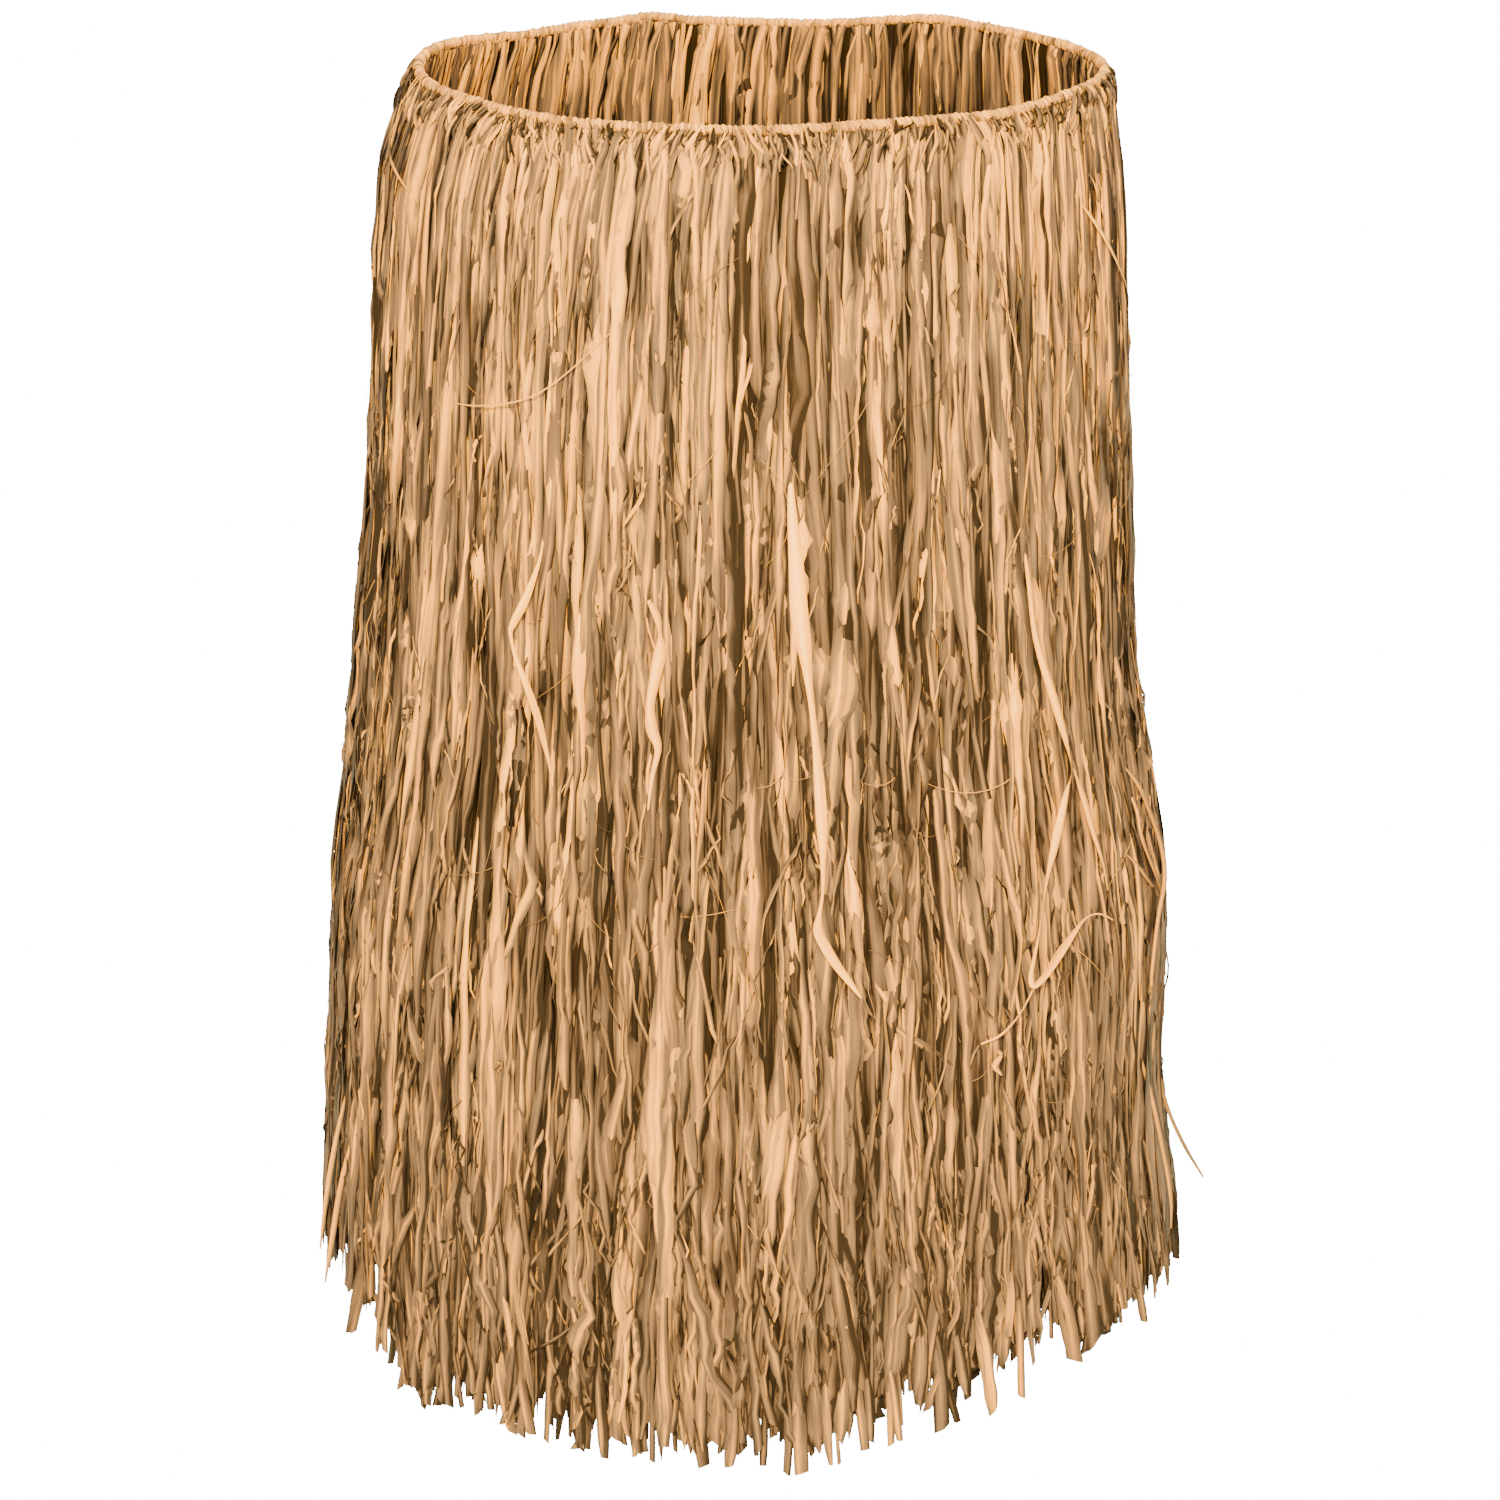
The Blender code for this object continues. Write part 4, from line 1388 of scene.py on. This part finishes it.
@dataclass(frozen=True)
class RaffiaFinish:
    """Dried raffia: silky along its fibres, from straw to brown."""

    name: str
    dark: Triple = (0.0205, 0.0106, 0.0056)
    brown: Triple = (0.0920, 0.0499, 0.0345)
    middle: Triple = (0.173, 0.0878, 0.0465)
    pale: Triple = (0.815, 0.304, 0.0255)
    # Sun-faded straw, and the painted highlight on the folds of pale strips.
    bleached: Triple = (1.0, 0.46, 0.110)
    stain: Triple = (0.045, 0.024, 0.0110)
    roughness: Range = (0.52, 0.74)
    relief: float = 0.55
    relief_depth: float = 0.00030
    sheen: float = 0.004
    sheen_roughness: float = 0.45
    specular: float = 0.05
    edge_fall: float = 1.4  # painted shade: loss of tone where a facet turns away from the view
    edge_range: Range = (0.45, 0.85)  # how far away it turns
    edge_tones: Range = (-0.8, 0.7)  # dark strips lose none, pale ones all of it

    def material(self, grain: bpy.types.ShaderNodeTree, tone: bpy.types.ShaderNodeTree) -> bpy.types.Material:
        """Build the material from the shared groups."""
        made = bpy.data.materials.new(self.name)
        made.use_nodes = True
        made.diffuse_color = rgba(self.middle)
        sketch = Sketch(made.node_tree)
        shader = made.node_tree.nodes["Principled BSDF"]
        lie = sketch.node("ShaderNodeAttribute", attribute_name="lie").outputs["Vector"]
        strip = sketch.node("ShaderNodeAttribute", attribute_name="tone").outputs["Fac"]
        # painted shade on pale strips where a facet is seen edge-on
        away = sketch.node("ShaderNodeLayerWeight", {"Blend": 0.5}).outputs["Facing"]
        fall = sketch.math(
            "MULTIPLY",
            sketch.spread(away, *self.edge_range, (0.0, self.edge_fall)),
            sketch.spread(strip, *self.edge_tones),
        )
        fibres = sketch.node("ShaderNodeGroup", node_tree=grain)
        sketch.fill(fibres, {"Lie": lie})
        look = {"Tone": sketch.math("SUBTRACT", strip, fall)}
        look |= {part: fibres.outputs[part] for part in ("Streak", "Patch", "Fleck", "Chance")}
        names = ("dark", "brown", "middle", "pale", "bleached", "stain")
        look |= {name.capitalize(): rgba(getattr(self, name)) for name in names}
        colour = sketch.fill(sketch.node("ShaderNodeGroup", node_tree=tone), look).outputs["Color"]
        relief = {"Height": fibres.outputs["Relief"], "Strength": self.relief, "Distance": self.relief_depth}
        sketch.fill(shader, {
            "Base Color": colour,
            "Roughness": sketch.spread(fibres.outputs["Streak"], 0.0, 1.0, self.roughness[::-1]),
            "Normal": sketch.node("ShaderNodeBump", relief).outputs[0],
        })
        shader.inputs["Specular IOR Level"].default_value = self.specular
        shader.inputs["Sheen Weight"].default_value = self.sheen
        shader.inputs["Sheen Roughness"].default_value = self.sheen_roughness
        return made


OUTER = RaffiaFinish("fringe_raffia")
# The curtain's copy, with darker dark, brown and middle colours: painted shade inside the skirt.
INNER = replace(
    OUTER, name="curtain_raffia", dark=(0.012, 0.0058, 0.0032), brown=(0.076, 0.0420, 0.0300),
    middle=(0.150, 0.0745, 0.0440),
)
# Near black: painted shade for the gaps between the outer strips.
SHADOW = replace(
    OUTER, name="matted_raffia_painted_shade", dark=(0.008, 0.0042, 0.0017), brown=(0.014, 0.0071, 0.0028),
    middle=(0.020, 0.010, 0.0038), pale=(0.052, 0.025, 0.0090), bleached=(0.060, 0.030, 0.0120),
    stain=(0.012, 0.005, 0.0020), sheen=0.0, specular=0.02, roughness=(0.75, 0.90),
)
TWISTED = replace(
    OUTER, name="cord_raffia", dark=(0.075, 0.035, 0.013), brown=(0.26, 0.108, 0.028),
    middle=(0.44, 0.180, 0.045), pale=(0.90, 0.350, 0.045), relief=0.8,
)


class Finishes:
    """The skirt's materials."""

    def __init__(self) -> None:
        """Build the shared groups once, then each material from them."""
        grain, tone = FibreGrain().group(), StripTone().group()
        self.fringe, self.curtain, self.mat, self.cord = (
            finish.material(grain, tone) for finish in (OUTER, INNER, SHADOW, TWISTED)
        )


# ------------------------------------------------------------------ sub-assemblies


def dress(piece: bpy.types.Object, finish: bpy.types.Material, node: str) -> bpy.types.Object:
    """Give a piece its material and its body, and hide the model's node that it stands for."""
    piece.data.materials.append(finish)
    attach(piece, BODY)
    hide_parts(node)
    LOG.info("%s: %d faces, for %s", piece.name, len(piece.data.polygons), node)
    return piece


@dataclass(frozen=True)
class WaistCord:
    """The cord that the raffia hangs from, wrapped all along by the strips hitched round it."""

    inset: float = 0.0036  # its middle, inside the skirt's outer face
    radius: float = 0.0030
    wrap: Range = (0.0012, 0.0036)  # widths of the wraps
    wraps: int = 1200  # more than go round
    wrap_start: float = -0.02
    wrap_bulge: float = 0.26  # of the radius
    wrap_arch: float = 0.6  # power of the sine in which it bulges
    wrap_slant: float = 0.0010  # along, for each radian round
    tilts: int = 60  # places where the slant changes
    rings: int = 1900
    sides: int = 13
    lump: float = 0.05  # of the radius, for each wave
    lumps: tuple[tuple[int, int], ...] = (  # waves round the skirt, and round the cord
        (23, 0), (41, 1), (67, 1), (97, 2), (151, 1), (211, 2), (307, 1),
    )
    swells: Range = (0.1, 1.0)  # how much of the bulge a wrap has
    tone: Range = (0.36, 0.46)  # the middle wrap's and the spread
    # painted highlight where a wrap bulges and painted shade in the grooves between wraps
    bulge_tone: float = 0.75
    # painted highlight where the cord lumps out
    lump_tone: float = 0.10
    map_rows: int = 22  # of the baking map, each with a margin
    map_margin: float = 0.04

    def surface(self) -> tuple[Array, Array, Array]:
        """The cord's surface on a grid of rings and sides.

        The way round the skirt gives the cord's middle. Each wrap is a slanting band: across it,
        the radius bulges as a power of |sin|, by its own amount. Slow waves add lumps.

        Returns:
            Points, their lie (place along, place across and the wrap's number) and tone.
        """
        chance = np.random.default_rng(5)
        turn = np.arange(self.rings) / self.rings
        level = np.zeros_like(turn)
        middle = FORM.place(turn, level, np.full_like(turn, self.inset))
        ahead = unit(np.roll(middle, -1, axis=0) - np.roll(middle, 1, axis=0))
        outward = FORM.outward(turn, level)
        up = np.cross(outward, ahead)
        angle = (TAU * np.arange(self.sides) / self.sides)[None, :]
        turn = turn[:, None]
        along = turn * float(FORM.girth(0.0))
        edges = np.cumsum(chance.uniform(*self.wrap, self.wraps)) + self.wrap_start
        tilts = chance.normal(0.0, 1.0, self.tilts + 1)
        tilt = np.interp(turn, np.linspace(0.0, 1.0, self.tilts + 1), tilts)
        slid = along + self.wrap_slant * (1.0 + tilt) * np.sin(angle)
        band = np.interp(slid, edges, np.arange(float(self.wraps)))
        number = np.floor(band).astype(int)
        arch = np.abs(np.sin(math.pi * band)) ** self.wrap_arch
        swell = arch * chance.uniform(*self.swells, self.wraps + 1)[number]
        waves = sum(
            chance.normal() * np.sin(TAU * (count * turn) + chance.uniform(0, TAU) + side * angle)
            for count, side in self.lumps
        )
        wrap = 1.0 - self.wrap_bulge / 2 + self.wrap_bulge * swell
        radius = self.radius * (wrap + self.lump * waves)
        across = np.cos(angle)[..., None] * outward[:, None] + np.sin(angle)[..., None] * up[:, None]
        points = middle[:, None] + radius[..., None] * across
        tone = self.tone[0] + chance.normal(0.0, self.tone[1], self.wraps + 1)[number]
        # painted highlight and shade by the wraps' bulges and the cord's lumps
        tone = tone + self.bulge_tone * (swell - 0.5) + self.lump_tone * waves
        around = 2.0 * self.radius * np.cos(angle)
        lie = np.stack(np.broadcast_arrays(along, around, number), axis=-1)
        return points, lie, np.clip(tone, -1.0, 1.0)

    def build(self, finishes: Finishes) -> bpy.types.Object:
        """Build and dress the cord. Its baking map has rows, each with its share of the rings."""
        points, lie, tone = self.surface()
        rings, sides, rows = self.rings, self.sides, self.map_rows
        index = np.arange(rings * sides).reshape(rings, sides)
        quads = grid_quads(np.pad(index, ((0, 1), (0, 1)), mode="wrap"))
        ring = np.arange(rings)[:, None, None]
        row = (ring * rows) // rings
        u = np.clip(ring * rows / rings - row + np.array([0.0, 1.0, 1.0, 0.0]) * (rows / rings), 0.0, 1.0)
        part = (np.arange(sides)[None, :, None] + np.array([0.0, 0.0, 1.0, 1.0])) / sides
        v = (row + self.map_margin + (1.0 - 2 * self.map_margin) * part) / rows
        places = np.stack(np.broadcast_arrays(u, v), axis=-1)
        sizes = np.full(len(quads), 4)
        name = "raffia_waist_cord"
        piece = make_piece(name, points.reshape(-1, 3), quads.reshape(-1), sizes, places, lie, tone)
        return dress(piece, finishes.cord, "waist_cord")


@dataclass(frozen=True)
class MattedShadeLayer:
    """The thin layer of crossed and matted raffia behind a quarter's outer strips, dark as painted shade for
    the gaps between them.
    """

    inward: float = 0.0058
    seat: float = 0.0035  # inwards, where it meets the cord
    seat_drops: Range = (0.001, 0.009)  # between them it leaves the cord
    wall: float = 0.0010
    gap: float = 0.0004  # between two quarters
    top: float = 0.0022
    hem_above: float = 0.048  # the longest strips' tips
    hem_ragged: float = 0.016
    columns: int = 120
    rows: int = 34
    row_growth: float = 1.6  # power that crowds the rows towards the cord
    folds: int = 20
    fold_depth: float = 0.0010
    fold_drops: Range = (0.003, 0.015)  # between them the folds begin
    fold_fade: float = 0.03  # of the width, at each side
    tone: float = -0.1
    map_margin: float = 0.01
    map_size: Range = (0.47, 0.97)  # of each face on the baking map, side by side
    flat: Range = (0.400, 0.735)

    def build(self, quarter: Quarter, finishes: Finishes) -> bpy.types.Object:
        """One quarter's layer.

        A grid of turns and drops on the form, moved in and out as the sine of the folds, drawn in
        under the cord, with a zigzag hem, thickened inwards.
        """
        chance = quarter.chance(900)
        share = np.linspace(0.0, 1.0, self.columns + 1)[None, :]
        down = np.linspace(0.0, 1.0, self.rows + 1)[:, None]
        inset = 0.5 * self.gap / float(FORM.girth(0.0))
        turn = quarter.start + inset + share * (1.0 / len(Quarter) - 2 * inset)
        ragged = chance.uniform(-1.0, 1.0, share.shape) * self.hem_ragged
        hem = FORM.hem_drop(turn) - self.hem_above + ragged
        drop = self.top + (hem - self.top) * down**self.row_growth
        fade = smooth_step(share, 0.0, self.fold_fade) * (1.0 - smooth_step(share, 1.0 - self.fold_fade, 1.0))
        wave = self.fold_depth * np.sin(TAU * self.folds * share + chance.uniform(0, TAU)) * fade
        inward = self.seat + (self.inward - self.seat) * smooth_step(drop, *self.seat_drops)
        inward = inward + wave * smooth_step(drop, *self.fold_drops)
        walls = [FORM.place(turn, drop, inward + depth) for depth in (0.0, self.wall)]
        index = np.arange(drop.size).reshape(drop.shape)
        back = index + drop.size

        def rim(first: Array, second: Array) -> Array:
            """Quads between two rows of vertex numbers."""
            return np.stack([first[:-1], first[1:], second[1:], second[:-1]], axis=-1)

        quads = np.concatenate([
            grid_quads(index),
            grid_quads(back)[:, ::-1],
            rim(index[0], back[0]),
            rim(back[-1], index[-1]),
            rim(back[:, 0], index[:, 0]),
            rim(index[:, -1], back[:, -1]),
        ])
        x, y = (part.reshape(-1) for part in np.broadcast_arrays(share, 1.0 - down))
        x, y = self.map_margin + self.map_size[0] * x, self.map_margin + self.map_size[1] * y
        map_x, map_y = np.concatenate([x, x + 0.5]), np.concatenate([y, y])
        places = np.stack([map_x[quads], map_y[quads]], axis=-1)
        lie = np.stack(np.broadcast_arrays(share * self.flat[0], drop, 0.0), axis=-1).reshape(-1, 3)
        piece = make_piece(
            f"raffia_mat_{quarter.side}", np.concatenate(walls).reshape(-1, 3), quads.reshape(-1),
            np.full(len(quads), 4), places, np.concatenate([lie, lie]), np.full(2 * drop.size, self.tone),
        )
        return dress(piece, finishes.mat, f"curtain_{quarter.side}")


@dataclass(frozen=True)
class Fringe:
    """A quarter's outer strips: hitched round the cord and hanging to the ragged hem."""

    kinds: tuple[StripKind, ...] = (
        # Dark strips deep under the others: painted shade in the gaps between the outer strips.
        StripKind(
            Reach.FULL, 180, 19, 0.0062, (2.8 * MM, 5.0 * MM), width_spread=0.36, wander=3.6 * MM,
            tone=-0.87, tone_spread=0.30, shortfall=0.028,
        ),
        StripKind(Reach.CORD, 175, 19, 0.0053, (-0.2 * MM, 2.4 * MM), span=(0.12, 0.36)),
        StripKind(Reach.LOOSE, 310, 19, 0.0055, (-0.6 * MM, 2.4 * MM), start_bias=0.9),
        StripKind(
            Reach.HEM, 255, 19, 0.0058, (-0.2 * MM, 2.4 * MM), width_spread=0.38, shortfall=0.011,
            tone=-0.22,
        ),
        StripKind(
            Reach.LOOSE, 60, 19, 0.0086, (-0.4 * MM, 1.8 * MM), span=(0.10, 0.26), width_spread=0.22,
            roll=0.95, twisted=0.45, tone=0.25, flatness=(0.06, 0.22),
        ),
        StripKind(
            Reach.LOOSE, 170, 9, 0.0022, (-1.4 * MM, 0.6 * MM), span=(0.030, 0.110), width_spread=0.50,
            slope=0.16, wander=1.8 * MM, crinkle=0.45 * MM, start_bias=0.7, tone=0.1,
        ),
        StripKind(
            Reach.LOOSE, 90, 8, 0.0018, (-1.2 * MM, 0.8 * MM), span=(0.016, 0.060), width_spread=0.50,
            slope=0.34, start=(0.33, 0.735), wander=1.0 * MM, crinkle=0.4 * MM, roll=0.9, tone=0.05,
        ),
        StripKind(
            Reach.LOOSE, 60, 8, 0.0018, (-1.1 * MM, 0.8 * MM), span=(0.014, 0.055), width_spread=0.50,
            slope=0.40, start=(0.006, 0.30), wander=1.0 * MM, crinkle=0.4 * MM, roll=0.9, tone=0.10,
        ),
    )
    hitches: Hitches = Hitches()
    # Short dark flakes under the hitches: painted shade in the crevices there.
    crevice_shades: Hitches = Hitches(
        count=110, sections=6, length=(0.005, 0.013), width=0.0013, bulge=0.0012, tone=-1.25,
        tone_spread=0.2,
    )
    tips: Tips = Tips()
    hairs: Hairs = Hairs()

    def build(self, quarter: Quarter, locks: Locks, finishes: Finishes) -> bpy.types.Object:
        """Build and dress one quarter's fringe, with the wisps that belong to it."""
        chance = quarter.chance(100)
        mesh = StripMesh(f"raffia_fringe_{quarter.side}")
        mesh.sets += [Hang(kind, locks, chance).strips() for kind in self.kinds]
        ends = (self.hitches, self.crevice_shades, self.tips, self.hairs)
        mesh.sets += [part.strips(quarter, chance) for part in ends]
        mesh.sets += [wisp.strips() for wisp in WISPS if wisp.is_in(quarter)]
        return dress(mesh.build(), finishes.fringe, f"fringe_{quarter.side}")


@dataclass(frozen=True)
class Curtain:
    """A quarter's inner strips, broad and upright, which line the skirt."""

    kinds: tuple[StripKind, ...] = (
        StripKind(
            Reach.FULL, 72, 17, 0.0058, (7.4 * MM, 9.0 * MM), width_spread=0.45, shortfall=0.030,
            facing=math.pi, tone=-0.28, fade=0.30, seat=6.4 * MM,
        ),
        StripKind(
            Reach.CORD, 82, 15, 0.0052, (8.2 * MM, 10.2 * MM), span=(0.12, 0.34), width_spread=0.45,
            hitch=2.4 * MM, facing=math.pi, shade=0.0, tone=0.05, tone_spread=0.58, fade=0.55,
            seat=6.4 * MM,
        ),
        StripKind(
            Reach.LOOSE, 60, 13, 0.0052, (8.6 * MM, 10.2 * MM), span=(0.14, 0.34), width_spread=0.40,
            facing=math.pi, shade=0.0, tone=0.05, fade=0.45,
        ),
    )

    def build(self, quarter: Quarter, locks: Locks, finishes: Finishes) -> bpy.types.Object:
        """Build and dress one quarter's curtain."""
        chance = quarter.chance(500)
        mesh = StripMesh(f"raffia_curtain_{quarter.side}")
        mesh.sets += [Hang(kind, locks, chance).strips() for kind in self.kinds]
        return dress(mesh.build(), finishes.curtain, f"curtain_{quarter.side}")


@dataclass(frozen=True)
class GrassSkirt:
    """The whole skirt: its cord and, for each quarter, a fringe, a dark matted layer of painted shade and a
    curtain.
    """

    cord: WaistCord = WaistCord()
    fringe: Fringe = Fringe()
    mat: MattedShadeLayer = MattedShadeLayer()
    curtain: Curtain = Curtain()

    def build(self) -> None:
        finishes = Finishes()
        self.cord.build(finishes)
        for quarter in Quarter:
            locks = Locks.drawn(quarter, quarter.chance(40))
            outer = self.fringe.build(quarter, locks, finishes)
            inner = self.curtain.build(quarter, locks, finishes)
            layer = self.mat.build(quarter, finishes)


# ------------------------------------------------------------------ studio


@dataclass(frozen=True)
class SoftLight:
    """A square, soft studio light."""

    name: str
    place: Triple
    size: float
    watts: float
    colour: Triple = (1.0, 0.93, 0.43)

    def build(self, target: Triple) -> None:
        """Hang the light, aimed at the target."""
        data = bpy.data.lights.new(self.name, "AREA")
        data.shape = "SQUARE"
        data.size = self.size
        data.energy = self.watts
        data.color = self.colour
        lamp = add_object(self.name, data)
        lamp.location = self.place
        away = Vector(self.place) - Vector(target)
        lamp.rotation_euler = away.to_track_quat("Z", "Y").to_euler()


@dataclass(frozen=True)
class Studio:
    """A pale floor, soft lights and the camera."""

    floor_height: float = -1.06  # of a floor under a standing wearer
    floor_radius: float = 14.0
    floor_sides: int = 96
    floor_colour: Triple = (0.93, 0.93, 0.93)
    floor_roughness: float = 0.9
    floor_specular: float = 0.1
    white: Triple = (1.0, 1.0, 1.0)
    surround: float = 0.60
    surround_colour: Triple = (0.93, 1.0, 1.24)  # cool, so that shades stay brown
    backdrop_glow: float = 16.0  # seen by the camera alone, so that it lights nothing
    target: Triple = (0.0, 0.0, -0.36)
    lights: tuple[SoftLight, ...] = (
        SoftLight("key", (-0.20, -2.8, 1.9), 0.5, 500.0),
        SoftLight("left", (-3.0, -1.2, 1.2), 1.2, 50.0),
        SoftLight("right", (3.0, -1.2, 1.2), 1.2, 75.0),
        SoftLight("behind", (1.3, 2.8, 1.9), 1.2, 420.0),
        SoftLight("top", (0.4, -0.7, 2.6), 1.2, 55.0),
    )
    camera_place: Triple = (-0.0065, -1.914, 0.397)
    camera_pitch: float = 22.99  # degrees below level
    focal_pixels: float = 3408.0
    image_pixels: float = 1500.0
    sensor: float = 36.0

    def build(self) -> None:
        """Set up floor, surround, lights and camera."""
        self.build_floor()
        world = bpy.data.worlds.new("studio")
        bpy.context.scene.world = world
        world.use_nodes = True
        sketch = Sketch(world.node_tree)
        seen = sketch.node("ShaderNodeLightPath").outputs["Is Camera Ray"]
        sketch.fill(world.node_tree.nodes["Background"], {
            "Color": sketch.blend(seen, rgba(self.surround_colour), rgba(self.white)),
            "Strength": sketch.spread(seen, 0.0, 1.0, (self.surround, self.backdrop_glow + 1.0)),
        })
        for light in self.lights:
            light.build(self.target)
        self.build_camera()

    def build_floor(self) -> None:
        """A wide, plain disc."""
        sides = np.arange(self.floor_sides)
        angle = TAU * sides / self.floor_sides
        rim = np.stack([np.cos(angle), np.sin(angle), np.zeros(len(sides))], axis=-1) * self.floor_radius
        rim[:, 2] = self.floor_height
        mesh = bpy.data.meshes.new("floor")
        mesh.from_pydata(rim.tolist(), [], [sides.tolist()])
        paper = bpy.data.materials.new("floor_paper")
        paper.use_nodes = True
        sketch = Sketch(paper.node_tree)
        seen = sketch.node("ShaderNodeLightPath").outputs["Is Camera Ray"]
        shader = paper.node_tree.nodes["Principled BSDF"]
        sketch.fill(shader, {
            "Base Color": rgba(self.floor_colour),
            "Roughness": self.floor_roughness,
            "Emission Color": rgba(self.white),
            "Emission Strength": sketch.math("MULTIPLY", seen, self.backdrop_glow),
        })
        shader.inputs["Specular IOR Level"].default_value = self.floor_specular
        mesh.materials.append(paper)
        add_object("floor", mesh)

    def build_camera(self) -> None:
        """The camera, above and in front of the skirt, looking down at it."""
        data = bpy.data.cameras.new("camera")
        data.sensor_fit = "HORIZONTAL"
        data.sensor_width = self.sensor
        data.lens = self.focal_pixels * self.sensor / self.image_pixels
        camera = add_object("camera", data)
        camera.location = self.camera_place
        camera.rotation_euler = (math.radians(90.0 - self.camera_pitch), 0.0, 0.0)
        bpy.context.scene.camera = camera


def main() -> None:
    """Build the skirt and the studio."""
    logging.basicConfig(level=logging.INFO, format="%(name)s: %(message)s")
    GrassSkirt().build()
    Studio().build()


if __name__ == "__main__":
    main()
